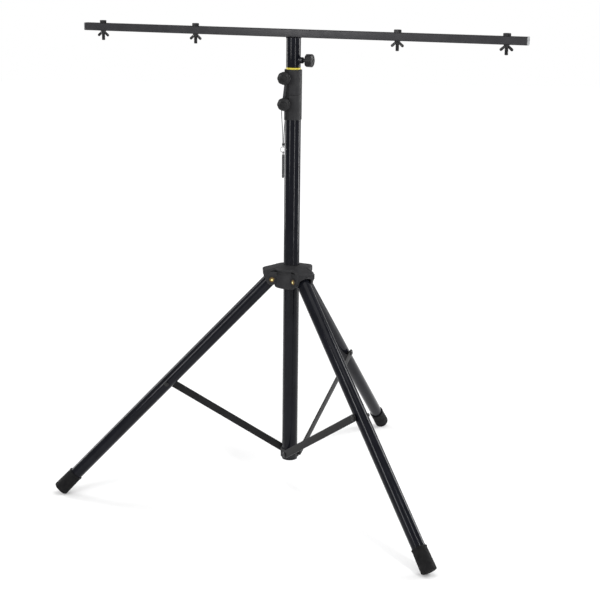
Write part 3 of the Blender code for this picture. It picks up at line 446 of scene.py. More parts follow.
def noiseAt(tree, place, scale, detail):
    return addNode(tree, "TexNoise", "Fac", {"Vector": place, "Scale": scale, "Detail": detail})


def spread(tree, source, low, high, fromLow=0.32, fromHigh=0.68):
    sockets = {"Value": source, "From Min": fromLow, "From Max": fromHigh, "To Min": low, "To Max": high}
    return addNode(tree, "MapRange", "Result", sockets)


def twoTone(tree, source, colour, tint, start=0.0, end=1.0):
    ramp = tree.nodes.new("ShaderNodeValToRGB")
    for stop, place, shade in zip(ramp.color_ramp.elements, (start, end), (colour, tint)):
        stop.position, stop.color = place, (*shade, 1)
    tree.links.new(source, ramp.inputs["Fac"])
    return ramp.outputs["Color"]


def startFinish(name):
    finish = bpy.data.materials.new(name)
    finish.use_nodes = True
    tree = finish.node_tree
    return finish, tree, tree.nodes["Principled BSDF"]


def makeFinish(name, look):
    finish, tree, shader = startFinish(name)
    place = addNode(tree, "TexCoord", "Object", {})
    mottle = noiseAt(tree, place, look["mottle"], 6)
    patches = noiseAt(tree, place, look["patches"], 4)
    normal = {}
    for key, detail in (("peel", 2), ("grit", 1)):
        scale, height = look[key]
        bumps = noiseAt(tree, place, scale, detail)
        sockets = {"Strength": 1.0, "Distance": height, "Height": bumps, **normal}
        normal = {"Normal": addNode(tree, "Bump", "Normal", sockets)}
    weight, coatRoughness = look.get("coat", (0.0, 0.03))
    fill(tree, shader, {
        "Base Color": twoTone(tree, mottle, look["colour"], look["tint"], 0.34, 0.68),
        "Roughness": spread(tree, patches, *look["roughness"]), "Metallic": look.get("metallic", 0.0),
        "Specular IOR Level": look["specular"], "Coat Weight": weight, "Coat Roughness": coatRoughness,
        **normal,
    })
    finish.diffuse_color = (*look["tint"], 1)
    return finish


def makeWeave(name, look):
    finish, tree, shader = startFinish(name)
    place = {key: addNode(tree, "TexCoord", key, {}) for key in ("UV", "Object")}
    waves = []
    for axis in look["axes"]:
        along = addNode(tree, "VectorMath", "Value", {0: place[look["along"]], 1: axis}, "DOT_PRODUCT")
        turn = addNode(tree, "Math", "Value", {0: along, 1: 2 * pi / look["pitch"]}, "MULTIPLY")
        waves.append(addNode(tree, "Math", "Value", {0: turn}, "SINE"))
    over = addNode(tree, "Math", "Value", dict(enumerate(waves)), "MULTIPLY")
    threads = spread(tree, over, 0.0, 1.0, -1.0, 1.0)
    fray = spread(tree, noiseAt(tree, place["Object"], thread["fray"], 3), 0.0, 0.3)
    blend = addNode(tree, "Math", "Value", {0: threads, 1: 0.7, 2: fray}, "MULTIPLY_ADD")
    bump = {"Strength": 1.0, "Distance": thread["height"], "Height": blend}
    sheen, sheenRoughness = thread["sheen"]
    fill(tree, shader, {
        "Base Color": twoTone(tree, blend, look["colour"], look["tint"]),
        "Roughness": spread(tree, threads, *thread["roughness"], 0.0, 1.0),
        "Specular IOR Level": thread["specular"], "Sheen Weight": sheen, "Sheen Roughness": sheenRoughness,
        "Normal": addNode(tree, "Bump", "Normal", bump),
    })
    finish.diffuse_color = (*look["tint"], 1)
    return finish


paints = {name: makeFinish(name, look) for name, look in finishes.items()}
paints.update({name: makeWeave(name, look) for name, look in weaves.items()})
print("finishes made")


# The safety pin on its cord. The cord comes first.

lanyardSizes = {
    "cordDiameter": 0.0018, "strandGap": 0.0022, "cordDrop": 0.1005, "parallel": 0.03,
    "knobNeck": 0.0045, "ferruleRadius": 0.0034, "ferruleHeight": 0.0062, "crimp": 0.00045,
    "eyeRadius": 0.0026, "eyeWire": 0.0008, "ringInside": 0.0067, "ringWire": 0.00060,
    "pinRadius": 0.0030, "pinLength": 0.069, "pinHead": 0.0034, "pinPoint": 0.0045,
    "pinTab": 0.0028, "pinTabHeight": 0.0085, "pinHole": 0.0015, "pinGroove": 0.0004,
}
knobAxis = Vector(joints["lanyard_swing"]["pos_m"])


def cordRoute():
    # up one strand, over the knob's neck and down the other
    sizes = lanyardSizes
    wrap = sizes["knobNeck"] + gap + sizes["cordDiameter"] / 2
    foot = gap - sizes["cordDrop"]
    count = round(-foot / (3 * sizes["cordDiameter"]))
    strand = []
    for index in range(count + 1):
        rise = index / count
        eased = max(0.0, (rise - sizes["parallel"]) / (1 - sizes["parallel"]))
        eased = eased * eased * (3 - 2 * eased)
        strand.append((sizes["strandGap"] / 2 + (wrap - sizes["strandGap"] / 2) * eased, foot * (1 - rise)))
    crown = arcPoints((0, 0), wrap, 180, 0, 6)[1:-1]
    route = [(-x, z) for x, z in strand] + crown + strand[::-1]
    return [knobAxis + Vector((x, 0, z)) for x, z in route]


def smoothed(points, steps=4):
    # a curve through all the points
    line = []
    for index in range(len(points) - 1):
        here, ahead = points[index], points[index + 1]
        before = points[max(index - 1, 0)]
        beyond = points[min(index + 2, len(points) - 1)]
        for step in range(steps):
            t = step / steps
            line.append(
                0.5 * (
                    2 * here + (ahead - before) * t
                    + (2 * before - 5 * here + 4 * ahead - beyond) * t**2
                    + (3 * here - before - 3 * ahead + beyond) * t**3
                )
            )
    return line + [points[-1]]


def makeCord():
    route = smoothed(cordRoute())
    cord = asPiece("lanyardCord", sweep(route, lanyardSizes["cordDiameter"] / 2, 16))
    settle(cord, "lanyard", "cordBraid", "lanyard_cord")
    length = sum((ahead - here).length for here, ahead in zip(route, route[1:]))
    return cord, route, length


def wireEye(spot, radius, wire):
    ring = [Vector((x, y, 0)) for x, y in arcPoints((0, 0), radius, 0, 360, 40)[:-1]]
    return moved(sweep(ring, wire, 12, closed=True), upAlong(spot, (1, 0, 0)))


def makeFerrule():
    sizes = lanyardSizes
    top, radius, pinch = -sizes["cordDrop"], sizes["ferruleRadius"], sizes["crimp"]
    low = top - sizes["ferruleHeight"]
    corners = [(radius, low, 0.0006)]
    for share in (0.30, 0.62):  # two crimped grooves
        height = low + share * sizes["ferruleHeight"]
        corners += [
            (radius, height - 0.0008, 0.0003), (radius - pinch, height - 0.0003, 0.0003),
            (radius - pinch, height + 0.0003, 0.0003), (radius, height + 0.0008, 0.0003),
        ]
    corners.append((radius, top, 0.0006))
    ferrule = asPiece("crimpFerrule", moved(spun(corners, 3, 32), at(*knobAxis)))
    eyeHeight = low - sizes["eyeRadius"] + sizes["eyeWire"]
    weld(ferrule, wireEye(knobAxis + Vector((0, 0, eyeHeight)), sizes["eyeRadius"], sizes["eyeWire"]))
    settle(ferrule, "lanyard", "blackSteel", "lanyard_ferrule")
    return ferrule, eyeHeight


def makeSplitRing(eyeHeight):
    # two turns of wire, side by side
    sizes = lanyardSizes
    middle = sizes["ringInside"] + sizes["ringWire"]
    height = eyeHeight - sizes["eyeRadius"] + sizes["eyeWire"] + gap - sizes["ringInside"]
    spots = []
    for step in range(145):
        share = step / 144
        angle = 4 * pi * share + 0.6
        offset = sizes["ringWire"] * 0.86 * tanh((share - 0.5) * 14)
        x, z = middle * cos(angle), height + middle * sin(angle)
        spots.append(knobAxis + Vector((x, offset, z)))
    ring = asPiece("splitRing", sweep(spots, sizes["ringWire"], 12))
    settle(ring, "lanyard", "brightWire", "split_ring")
    return ring, height


def makeSafetyPin(ringHeight):
    sizes = lanyardSizes
    radius, head, tip = sizes["pinRadius"], sizes["pinHead"], sizes["pinHead"] - sizes["pinLength"]
    point = sizes["pinPoint"]
    neck, waist = tip + point, radius - sizes["pinGroove"]
    corners = [
        (0, tip, 0), (0.45 * radius, tip + 0.06 * point, 0.001), (0.86 * radius, tip + 0.42 * point, 0.0016),
        (radius, neck, 0.001), (radius, neck + 0.0042, 0.0001), (waist, neck + 0.0046, 0.0001),
        (waist, neck + 0.0058, 0.0001), (radius, neck + 0.0062, 0.0001), (radius, head - 0.0006, 0.0012),
        (0.72 * radius, head, 0.0008),
    ]
    pin = asPiece("safetyPin", spun(corners, 4, 40))
    flat, wide = sizes["pinTab"] / 2, 2 * radius
    shoulder = head - sizes["pinTabHeight"]
    carve(pin, block((flat, -wide, shoulder), (wide, wide, 2 * head)))
    carve(pin, block((-wide, -wide, shoulder), (-flat, wide, 2 * head)))
    drill(pin, upAlong((0, 0, 0), (1, 0, 0)), sizes["pinHole"], -wide, wide, 24)
    height = ringHeight - sizes["ringInside"] + gap - sizes["pinHole"]
    settle(pin, "lanyard", "pinBlack", "safety_pin",
           place=Matrix.Translation(knobAxis + Vector((0, 0, height))))


lanyardCord, cordLine, cordLength = makeCord()
ferrulePiece, eyeLevel = makeFerrule()
ringPiece, ringLevel = makeSplitRing(eyeLevel)
makeSafetyPin(ringLevel)
print("cord %.3f m long, with its ferrule, ring and pin" % cordLength)


strapSizes = {
    "width": 0.0065, "thickness": 0.0016, "head": 0.0085, "hole": 0.0051, "drop": 0.0560,
    "lean": 0.0060, "edge": 0.00045,
}
faceOn = turned(90, "X")  # an outline in XY stands up in XZ


def makeStrap():
    sizes = strapSizes
    half, deep = sizes["width"] / 2, sizes["thickness"] / 2
    start = (sizes["lean"], -0.5 * sizes["head"])
    tail = filleted(
        [
            (-half, -sizes["drop"], 0.0012), (half, -sizes["drop"], 0.0012),
            (start[0] + half, start[1], 0), (start[0] - half, start[1], 0),
        ],
        4, closed=True,
    )
    strap = asPiece("lanyardStrap", slab(tail, -deep, deep, sizes["edge"]))
    loop = arcPoints((0, 0), sizes["head"], 0, 360, 64)[:-1]
    hole = arcPoints((0, 0), sizes["hole"], 0, 360, 48)[:-1]
    weld(strap, slab(loop, -deep, deep, sizes["edge"]))
    carve(strap, slab(hole, -2 * deep, 2 * deep))
    knob = Vector(joints["upper_knob_turn"]["pos_m"])
    settle(strap, "middle_section", "strapWeave", "lanyard_strap",
           place=at(knob.x, knobAxis.y, knob.z) @ faceOn)


makeStrap()
print("strap made")


# The column: three nested tubes, their clamps and the brace collar

columnSizes = {
    "mainRadius": 0.0207, "middleRadius": 0.0180, "topRadius": 0.0155, "wall": 0.0015,
    "edge": 0.0006, "capFlange": 0.0025, "sides": 96,
}


def makeTube(part, body):
    # a tube with rolled ends, as long as its node
    low, high = heightsOf(part + "_tube")
    radius, wall, edge = columnSizes[part + "Radius"], columnSizes["wall"], columnSizes["edge"]
    corners = [
        (radius, low, edge), (radius, high, edge), (radius - wall, high, edge), (radius - wall, low, edge),
    ]
    tube = asPiece(part + "Tube", spun(corners, 3, columnSizes["sides"], True))
    settle(tube, body, "tubeCoat", part + "_tube")


def makeColumnCap():
    low, high = heightsOf("column_end_cap")
    radius, flange = columnSizes["mainRadius"], columnSizes["capFlange"]
    bore = radius - columnSizes["wall"] - gap
    corners = [
        (0.35 * radius, low + 0.0006, 0.0004), (0.40 * radius, low, 0.0004), (radius, low, 0.0011),
        (radius, low + flange, 0.0003), (bore, low + flange, 0.0001), (bore, high, 0.0008),
    ]
    cap = asPiece("columnEndCap", spun(corners, 4, 72))
    settle(cap, "column", "mouldedBlack", "column_end_cap")


makeTube("main", "column")
makeTube("middle", "middle_section")
makeTube("top", "top_section")
for node in ("middle_bush", "top_bush"):
    recoat(frame["nodes"][node], "mouldedBlack")
makeColumnCap()
print("tubes made")


collarSizes = {
    "radius": 0.0245, "height": 0.024, "pivotRadius": 0.014, "flat": 0.0223, "boss": 0.010,
    "boltDepth": 0.0028, "boltRadius": 0.0040, "headRadius": 0.0068, "headHeight": 0.0028,
    "edge": 0.0008, "braceThickness": 0.003,
}
legNames = ("left", "front", "rear")


def azimuthOf(jointName):
    spot = joints[jointName]["pos_m"]
    return atan2(spot[1], spot[0])


legAzimuths = {side: azimuthOf("leg_" + side + "_fold") for side in legNames}
legTurns = {side: Matrix.Rotation(azimuth, 4, "Z") for side, azimuth in legAzimuths.items()}


def bracePlace(side, out, height):
    # where a brace meets its collar, with its own Z pointing out from the flat
    return legTurns[side] @ upAlong((collarSizes["pivotRadius"], -out, height), (0, -1, 0))


def makeBraceCollar():
    sizes = collarSizes
    low, high = heightsOf("brace_collar")
    middle = (low + high) / 2
    low, high = middle - sizes["height"] / 2, middle + sizes["height"] / 2
    radius, edge, flat = sizes["radius"], sizes["edge"], sizes["flat"]
    collar = asPiece("braceCollar", spun([(radius, low, edge), (radius, high, edge)], 4, 96))
    for side, turn in legTurns.items():
        weld(collar, rod(sizes["boss"], 0, 1.1 * flat, 48), bracePlace(side, 0, middle))
        carve(collar, moved(block((-0.024, -2 * flat, low - 0.02), (0.048, -flat, high + 0.02)), turn))
    drill(collar, Matrix(), columnSizes["mainRadius"] + gap, low - 0.01, high + 0.01, 96)
    bolt, deep = sizes["boltRadius"] + gap, sizes["boltDepth"] + gap
    for side in legNames:
        drill(collar, bracePlace(side, flat, middle), bolt, -deep, 0.003)
    settle(collar, "column", "mouldedBlack", "brace_collar")


def rivetShape(foot, shank, under):
    # a domed head with a shallow ring pressed into it, on a shank from its foot up to the head
    radius, height = collarSizes["headRadius"], collarSizes["headHeight"]
    corners = [
        (shank, foot, 0.0003), (shank, under, 0), (radius, under, 0.0002),
        (radius, under + 0.45 * height, 0.0010), (0.66 * radius, under + 0.96 * height, 0.0016),
        (0.42 * radius, under + height, 0.0003),
        (0.36 * radius, under + 0.84 * height, 0.0003),
    ]
    return spun(corners, 4, 40)


def makeCollarBolt(side):
    sizes = collarSizes
    place = bracePlace(side, sizes["flat"], joints["brace_" + side + "_turn"]["pos_m"][2])
    shape = rivetShape(-sizes["boltDepth"], sizes["boltRadius"], gap + sizes["braceThickness"] + gap)
    bolt = asPiece("collarBolt_" + side, moved(shape, place))
    settle(bolt, "column", "blackSteel", "collar_bolt_" + side)


makeBraceCollar()
for side in legNames:
    makeCollarBolt(side)
print("brace collar made")


clampSizes = {
    "radius": 0.0224, "height": 0.063, "knobX": -0.0240, "front": 0.0197, "slit": 0.002, "recess": 0.0014,
    "ear": 0.0088, "edge": 0.0009, "lowerSeat": 0.0349, "upperSeat": 0.0300,
}


def makeClamp(part, body, outer, inner):
    # one moulded collar: round at the front, with flat jaws that the knob's screw pulls together
    sizes = clampSizes
    seatDepth, node = sizes[part + "Seat"], part + "_clamp"
    foot = heightsOf(node)[0]
    top = foot + sizes["height"]
    radius, front = sizes["radius"], sizes["front"]
    roundEnd = 180 - degrees(asin(front / radius))
    outline = arcPoints((0, 0), radius, -roundEnd, roundEnd, 64)
    outline += filleted([(outline[-1][0], front, 0), (-radius, front, 0.002), (-radius, -front, 0.002),
                         (outline[0][0], -front, 0)], 4)[1:-1]
    clamp = asPiece(part + "Clamp", slab(outline, foot, top, sizes["edge"], 3))
    past, step, jaw = 2 * radius, outline[0][0] - 0.0005, front - sizes["recess"]
    for low, high in ((-past, -jaw), (jaw, past)):  # the jaws stand back
        carve(clamp, block((-past, low, foot - past), (step, high, top + past)))
    knobPlace = upAlong((sizes["knobX"], 0, joints[part + "_knob_turn"]["pos_m"][2]), (0, 1, 0))
    weld(clamp, spun([(sizes["ear"], -front, 0.0008), (sizes["ear"], front, 0.0008)], 3, 64), knobPlace)
    seat, guide = columnSizes[outer + "Radius"] + gap, columnSizes[inner + "Radius"] + gap
    shoulder = foot + seatDepth + gap
    bore = [
        (0, foot - past), (seat + 0.0008, foot - past), (seat + 0.0008, foot + 0.0003),
        (seat, foot + 0.0011), (seat, shoulder), (guide, shoulder), (guide, top - 0.0010),
        (guide + 0.0009, top - 0.0001), (guide + 0.0009, top + past), (0, top + past),
    ]
    carve(clamp, lathe(bore, 96))
    half = sizes["slit"] / 2
    carve(clamp, block((-past, -half, foot - past), (0, half, top + past)))
    drill(clamp, knobPlace, screw + gap, -past, past)
    settle(clamp, body, "mouldedBlack", node)
    # painted shade: the set-back jaws get the darker knob finish
    recoatWhere(clamp, "knobBlackAndPaintedShade", lambda face: face.center.x < step + 0.0001)


def makeStopRing():
    low, high = map(Vector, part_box("clamp_ring"))
    inside, outside = columnSizes["topRadius"] + gap, high.x
    corners = [(inside, low.z, 0.0004), (outside, low.z, 0.0009), (outside, high.z, 0.0014),
               (inside, high.z, 0.0005)]
    ring = asPiece("stopRing", spun(corners, 4, 96, True))
    settle(ring, "middle_section", "amberPlastic", "clamp_ring")


makeClamp("lower", "column", "main", "middle")
makeClamp("upper", "middle_section", "middle", "top")
makeStopRing()
print("clamps made")


knobSizes = {
    "radius": 0.0165, "neckRadius": 0.0045, "neck": 0.0035, "cone": 0.0045,
    "dome": 0.0040, "flutes": 8, "fluteDepth": 0.0007, "grip": 0.0110, "longGrip": 0.0165,
    "badge": 0.0062, "barReach": 0.0267, "hubReach": 0.0560,
}


def makeKnob(name, body, length, grip):
    # a fluted grip on a screw; its own Z points out from the face that it tightens on
    sizes = knobSizes
    joint = joints[body + "_turn"]
    radius, neck, badge = sizes["radius"], sizes["neckRadius"], sizes["badge"]
    cone = gap + sizes["neck"]
    back = cone + sizes["cone"]
    front = back + grip
    top = front + sizes["dome"]
    corners = [
        (0, -length, 0), (0.8 * screw, -length, 0), (screw, -length + 0.0006, 0),
        (screw, gap, 0), (neck, gap, 0.0003), (neck, cone, 0.0008),
        (0.60 * radius, back - 0.0004, 0.0012), (radius - 0.0004, back, 0.0013),
        (radius, front, 0.0022), (0.62 * radius, front + 0.62 * sizes["dome"], 0.003),
        (badge + 0.0012, top - 0.0010, 0.0006), (badge + 0.0005, top - 0.0018, 0.0004),
        (badge, top - 0.0004, 0.0004), (0.5 * badge, top, 0.001), (0, top, 0),
    ]
    profile = filleted(corners, 5)
    deep = sizes["fluteDepth"]

    def flute(index, angle):
        share = min(1.0, max(0.0, (profile[index][0] - 0.55 * radius) / (0.40 * radius)))
        wave = (1 - cos(sizes["flutes"] * angle)) / 2
        return deep * share * wave**1.6 if profile[index][1] > cone else 0

    knob = asPiece(name, moved(lathe(profile, 96, drawn=flute), upAlong(joint["pos_m"], joint["axis"])), 50)
    settle(knob, body, "knobBlackAndPaintedShade", body)


def makeKnobs():
    sizes = knobSizes
    barScrew = sizes["barReach"] - columnSizes["topRadius"] - gap
    hubScrew = sizes["hubReach"] - columnSizes["mainRadius"] - gap
    makeKnob("lowerKnob", "lower_knob", 2 * clampSizes["front"], sizes["grip"])
    makeKnob("upperKnob", "upper_knob", 2 * clampSizes["front"], sizes["grip"])
    makeKnob("barKnob", "tbar_knob", barScrew, sizes["longGrip"])
    makeKnob("hubLockKnob", "hub_lock_knob", hubScrew, sizes["grip"])


makeKnobs()
print("knobs made")


# The spreader hub: a drum under a sloping hood, with an arched socket for each leg

hubSizes = {
    "radius": 0.0490, "groove": 0.0450, "depth": 0.0225, "crown": 0.038, "fall": 0.014,
    "hoodThickness": 0.006, "hoodRadius": 0.0505, "lobeReach": 0.0757, "lobeCorner": 0.010,
    "socket": 0.0179, "cheek": 0.0255, "cheekRound": 0.0150, "cheekReach": 0.0735, "cheekEdge": 0.0090,
    "archHeight": 0.0235, "archFoot": 0.0132, "archBand": 0.0022, "bandRoot": -0.0020,
    "bandTop": 0.0078, "pivotRadius": 0.052, "spread": 44.0,
    "boltRadius": 0.0040, "lockBoss": 0.0080, "lockReach": knobSizes["hubReach"], "lockDrop": 0.0035,
    # how far out the cap's painted highlight reaches, as a share of its radius
    "rim": 0.0011, "capRadius": 0.0065, "capHeight": 0.0042, "capHighlightShare": 0.50,
     "capBoss": 0.0098, "capBossHeight": 0.0026,
}
pivotHeight = joints["leg_left_fold"]["pos_m"][2]


def hoodTop(radius):
    sizes = hubSizes
    run = (radius - columnSizes["mainRadius"]) / (sizes["lobeReach"] - columnSizes["mainRadius"])
    return sizes["crown"] - sizes["fall"] * run


def hoodPlan():
    # seen from above: a disc with a lobe over each leg, their corners rounded into each other
    sizes = hubSizes
    meet = degrees(asin(sizes["cheek"] / sizes["hoodRadius"]))
    corner = sizes["lobeCorner"]
    half, end = sizes["cheek"] - corner, sizes["lobeReach"] - corner
    sector = arcPoints((end, -half), corner, -90, 0, 10) + arcPoints((end, half), corner, 0, 90, 10)
    sector += arcPoints((0, 0), sizes["hoodRadius"], meet, 120 - meet, 18)
    plan = []
    for azimuth in legAzimuths.values():
        turn = Matrix.Rotation(azimuth, 2)
        plan += [tuple(turn @ Vector(spot)) for spot in sector]
    return plan


def makeHoodShape():
    # rings of the plan, each at its own height on the sloping top
    sizes = hubSizes
    plan, thick, rim = hoodPlan(), sizes["hoodThickness"], sizes["rim"]
    levels = [
        (0.0014, -thick), (0.0004, 0.0004 - thick), (0.0, 0.0014 - thick), (0.0, -0.0016),
        (0.0005, -0.0005), (0.0016, 0.0), (0.0034, 0.0), (0.0042, -0.4 * rim), (0.0048, -rim),
    ]
    shape = bmesh.new()
    rings = []
    for inset, height in levels:
        ring = pulledIn(plan, inset) if inset else plan
        rings.append([shape.verts.new((x, y, hoodTop(hypot(x, y)) + height)) for x, y in ring])
    inner = pulledIn(plan, levels[-1][0])
    for share in (0.88, 0.74, 0.6, 0.46, 0.34):
        ring = []
        for x, y in inner:
            x, y = x * share, y * share
            ring.append(shape.verts.new((x, y, hoodTop(hypot(x, y)) - rim)))
        rings.append(ring)
    skinned(shape, rings)
    top = shape.verts.new((0, 0, sizes["crown"] - rim))
    foot = shape.verts.new((0, 0, sizes["crown"] - thick))
    for index in range(len(plan)):
        shape.faces.new([rings[-1][index - 1], rings[-1][index], top])
        shape.faces.new([rings[0][index], rings[0][index - 1], foot])
    return shape


def makeDrumShape():
    sizes = hubSizes
    radius, depth, groove = sizes["radius"], sizes["depth"], sizes["groove"]
    half = 0.5 * sizes["hoodThickness"]
    corners = [
        (radius - 0.0045, -depth, 0.0012), (radius - 0.0015, -depth + 0.0030, 0.0025),
        (radius - 0.0003, -depth + 0.4 * depth, 0.012), (radius, -depth + 0.9 * depth, 0.012),
        (radius - 0.0012, -depth + 1.4 * depth, 0.0040), (groove, 0.75 * depth, 0.002),
        (groove, hoodTop(groove) - half, 0), (0, sizes["crown"] - half, 0),
    ]
    return spun(corners, 5, 96)


def channelPlace():
    # its X runs across a leg, its Y up from it and its Z down along it
    spread = radians(hubSizes["spread"])
    upward = Vector((cos(spread), 0, sin(spread)))
    downLeg = Vector((sin(spread), 0, -cos(spread)))
    return Matrix((upward.cross(downLeg), upward, downLeg)).transposed().to_4x4()


def socketCut():
    # slices across a leg: an arched roof over its head, open outwards and down
    sizes = hubSizes
    half, spread = sizes["socket"], radians(sizes["spread"])
    shape = bmesh.new()
    slices = []
    for step in range(25):
        across = -half * cos(pi * step / 24)
        rise = sqrt(max(0.0, 1 - (across / half) ** 2))
        reach = sizes["archFoot"] + (sizes["archHeight"] - sizes["archFoot"]) * rise
        outline = arcPoints((0, 0), reach, 180, sizes["spread"], 14)
        x, z = outline[-1]
        outline.append((x + 0.1 * sin(spread), z - 0.1 * cos(spread)))
        outline += [(x + 0.07, -0.12), (-reach, -0.12)]
        slices.append([shape.verts.new((x, across, z)) for x, z in outline])
    shape.faces.new(slices[0])
    shape.faces.new(slices[-1][::-1])
    return skinned(shape, slices)


def makeHub():
    sizes = hubSizes
    cheek = arcPoints((sizes["pivotRadius"], 0), sizes["cheekRound"], 180, 360, 32)
    roof = hoodTop(sizes["cheekReach"]) - 0.5 * sizes["hoodThickness"]
    root = sizes["pivotRadius"] - sizes["cheekRound"]
    cheek += [(sizes["cheekReach"], sizes["cheekEdge"]), (sizes["cheekReach"], roof), (root, roof)]
    wide, tall = sizes["socket"] + sizes["archBand"], sizes["archHeight"] + sizes["archBand"]
    hoop = [(wide * x, tall * y) for x, y in arcPoints((0, 0), 1, 0, 180, 24)]
    half, rim = sizes["cheek"], sizes["capBoss"]
    hub = asPiece("spreaderHub", makeHoodShape())
    weld(hub, makeDrumShape())
    for turn in legTurns.values():
        weld(hub, slab(cheek, -half, half, 0.0014), turn @ faceOn)
        pivot = turn @ at(sizes["pivotRadius"])
        for way in (1, -1):
            ring = [(rim, half - 0.002, 0), (rim - 0.0004, half + sizes["capBossHeight"], 0.0012)]
            weld(hub, spun(ring, 4, 48), pivot @ upAlong((0, 0, 0), (0, way, 0)))
        weld(hub, slab(hoop, sizes["bandRoot"], sizes["bandTop"], 0.0012), pivot @ channelPlace())
    lock = Matrix.Rotation(legAzimuths["left"] - radians(60), 4, "Z")
    lockPlace = lock @ upAlong((0, 0, -sizes["lockDrop"]), (1, 0, 0))
    boss, reach = sizes["lockBoss"], sizes["lockReach"]
    corners = [(boss + 0.0015, 0.03, 0), (boss, reach - 0.003, 0.004), (boss, reach, 0.0008)]
    weld(hub, spun(corners, 4, 48), lockPlace)
    bore, crown = columnSizes["mainRadius"] + gap, sizes["crown"]
    hole = [(0, -0.1), (bore, -0.1), (bore, crown - 0.0018), (bore + 0.0012, crown - 0.0006),
            (bore + 0.0012, 0.1), (0, 0.1)]
    carve(hub, lathe(hole, 96))
    for turn in legTurns.values():
        pivot = turn @ at(sizes["pivotRadius"])
        carve(hub, moved(socketCut(), pivot))
        drill(hub, pivot @ upAlong((0, 0, 0), (0, 1, 0)), sizes["boltRadius"] + gap, -0.05, 0.05)
        for way in (1, -1):  # the wells of the caps
            place = pivot @ upAlong((0, 0, 0), (0, way, 0))
            drill(hub, place, sizes["capRadius"] + 0.0004, half + 0.0001, 0.05, 48)
    drill(hub, lockPlace, screw + gap, 0.01, 0.1)
    settle(hub, "hub", "mouldedBlack", "hub", place=at(z=pivotHeight))


def makeLegCap(side, number, way):
    # a pressed-in amber cap: a rim round a shallow dish with a domed middle
    sizes = hubSizes
    foot, radius, height = sizes["cheek"] + gap, sizes["capRadius"], sizes["capHeight"]
    top = foot + height
    corners = [
        (radius, foot, 0.0002), (radius, foot + 0.72 * height, 0.0012),
        (0.80 * radius, foot + 0.90 * height, 0.0005), (0.70 * radius, top - 0.0016, 0.0006),
        (0.40 * radius, top - 0.0002, 0.0012), (0, top, 0),
    ]
    place = at(z=pivotHeight) @ (legTurns[side] @ upAlong((sizes["pivotRadius"], 0, 0), (0, way, 0)))
    cap = asPiece("legCap_%s_%d" % (side, number), moved(spun(corners, 4, 48), place))
    # painted light: a pale highlight colour on the cap's middle and a darker painted shade on its rim
    settle(cap, "hub", "capPaintedHighlight", "leg_cap_%s_%d" % (side, number))
    level = place.inverted()
    recoatWhere(cap, "capPaintedShade", lambda face: (level @ face.center).xy.length > sizes["capHighlightShare"] * radius)


makeHub()
for side in legNames:
    makeLegCap(side, 1, 1)
    makeLegCap(side, 2, -1)
    recoat(frame["nodes"]["leg_pivot_bolt_" + side], "blackSteel")
print("hub made")


# Legs, rubber feet and braces

legSizes = {
    "reach": 0.8174, "radius": 0.01735, "wall": 0.0015, "headroom": 0.012, "edge": 0.0006,
    "spread": hubSizes["spread"],
    "footRadius": 0.0203, "footLength": 0.062, "sole": 0.008, "rim": 0.003, "dome": 0.0025,
    "lip": 0.0009, "lipHeight": 0.004, "tread": 0.0007,
    "braceOnLeg": 0.4008, "pinRadius": 0.0040, "bracePlane": 0.0226, "spacer": 0.0075, "nutHeight": 0.0055,
    "nutFlats": 0.0117,
}


def legFrame(side):
    # a leg's own Z runs up its tube and its Y is the hinge's direction
    spot = joints["leg_" + side + "_fold"]["pos_m"]
    return at(*spot) @ legTurns[side] @ turned(-legSizes["spread"], "Y")


def makeLeg(side):
    sizes, place = legSizes, legFrame(side)
    radius, inner, edge = sizes["radius"], sizes["radius"] - sizes["wall"], sizes["edge"]
    foot = -(sizes["reach"] - sizes["sole"] + sizes["rim"])
    top = sizes["headroom"]
    corners = [(radius, foot, edge), (radius, top, edge), (inner, top, edge), (inner, foot, edge)]
    leg = asPiece("leg_" + side, spun(corners, 3, 96, True))
    for height in (0.0, -sizes["braceOnLeg"]):
        drill(leg, upAlong((0, 0, height), (0, 1, 0)), sizes["pinRadius"] + gap, -0.05, 0.05)
    settle(leg, "leg_" + side, "tubeCoat", "leg_" + side, place=place)


def makeFoot(side):
    # a moulded cup with a beaded mouth and two rings in its sole
    sizes = legSizes
    radius, rim, lip, tread = sizes["footRadius"], sizes["rim"], sizes["lip"], sizes["tread"]
    bore, sole = sizes["radius"] + gap, -sizes["reach"]
    low, dome, bead = sole - rim, sizes["dome"], sizes["lipHeight"]
    mouth, seat = low + sizes["footLength"], low + sizes["sole"] - gap
    heel = arcPoints((radius - rim, sole), rim, 0, -84, 14)
    corners = [(bore, mouth, 0.0003), (bore, seat, 0.0010), (0, seat, 0)]
    outside = [
        (radius - lip, mouth, 0.0005), (radius - 0.0001, mouth - 0.35 * lip, 0.0006),
        (radius - 0.0001, mouth - bead + lip, 0.0006), (radius - lip, mouth - bead, 0.0008),
        (radius - lip, mouth - 2 * bead, 0.004), (radius - 0.0002, sole + 0.016, 0.02),
    ]
    bottom = [
        (0.80 * radius, low - 0.04 * dome, 0.0004), (0.78 * radius, low + tread, 0.0004),
        (0.72 * radius, low + tread, 0.0004), (0.70 * radius, low - 0.35 * dome, 0.0004),
        (0.44 * radius, low - 0.72 * dome, 0.0005), (0.42 * radius, low + tread - 0.0012, 0.0004),
        (0.34 * radius, low + tread - 0.0014, 0.0004), (0.32 * radius, low - 0.8 * dome, 0.0005),
        (0, low - dome, 0),
    ]
    profile = filleted(corners[::-1], 3) + filleted([corners[0]] + outside + [heel[0] + (0,)], 4)[1:]
    profile += heel[1:] + filleted([heel[-1] + (0,)] + bottom, 3)[1:]
    foot = asPiece("rubberFoot_" + side, moved(lathe(profile, 96), legFrame(side)), 50)
    settle(foot, "leg_" + side, "footRubber", "foot_" + side)


def hexagon(acrossFlats, corner=0.0005):
    reach = acrossFlats / sqrt(3)
    points = [(x, y, corner) for x, y in arcPoints((0, 0), reach, 0, 360, 6)[:-1]]
    return filleted(points, 3, closed=True)


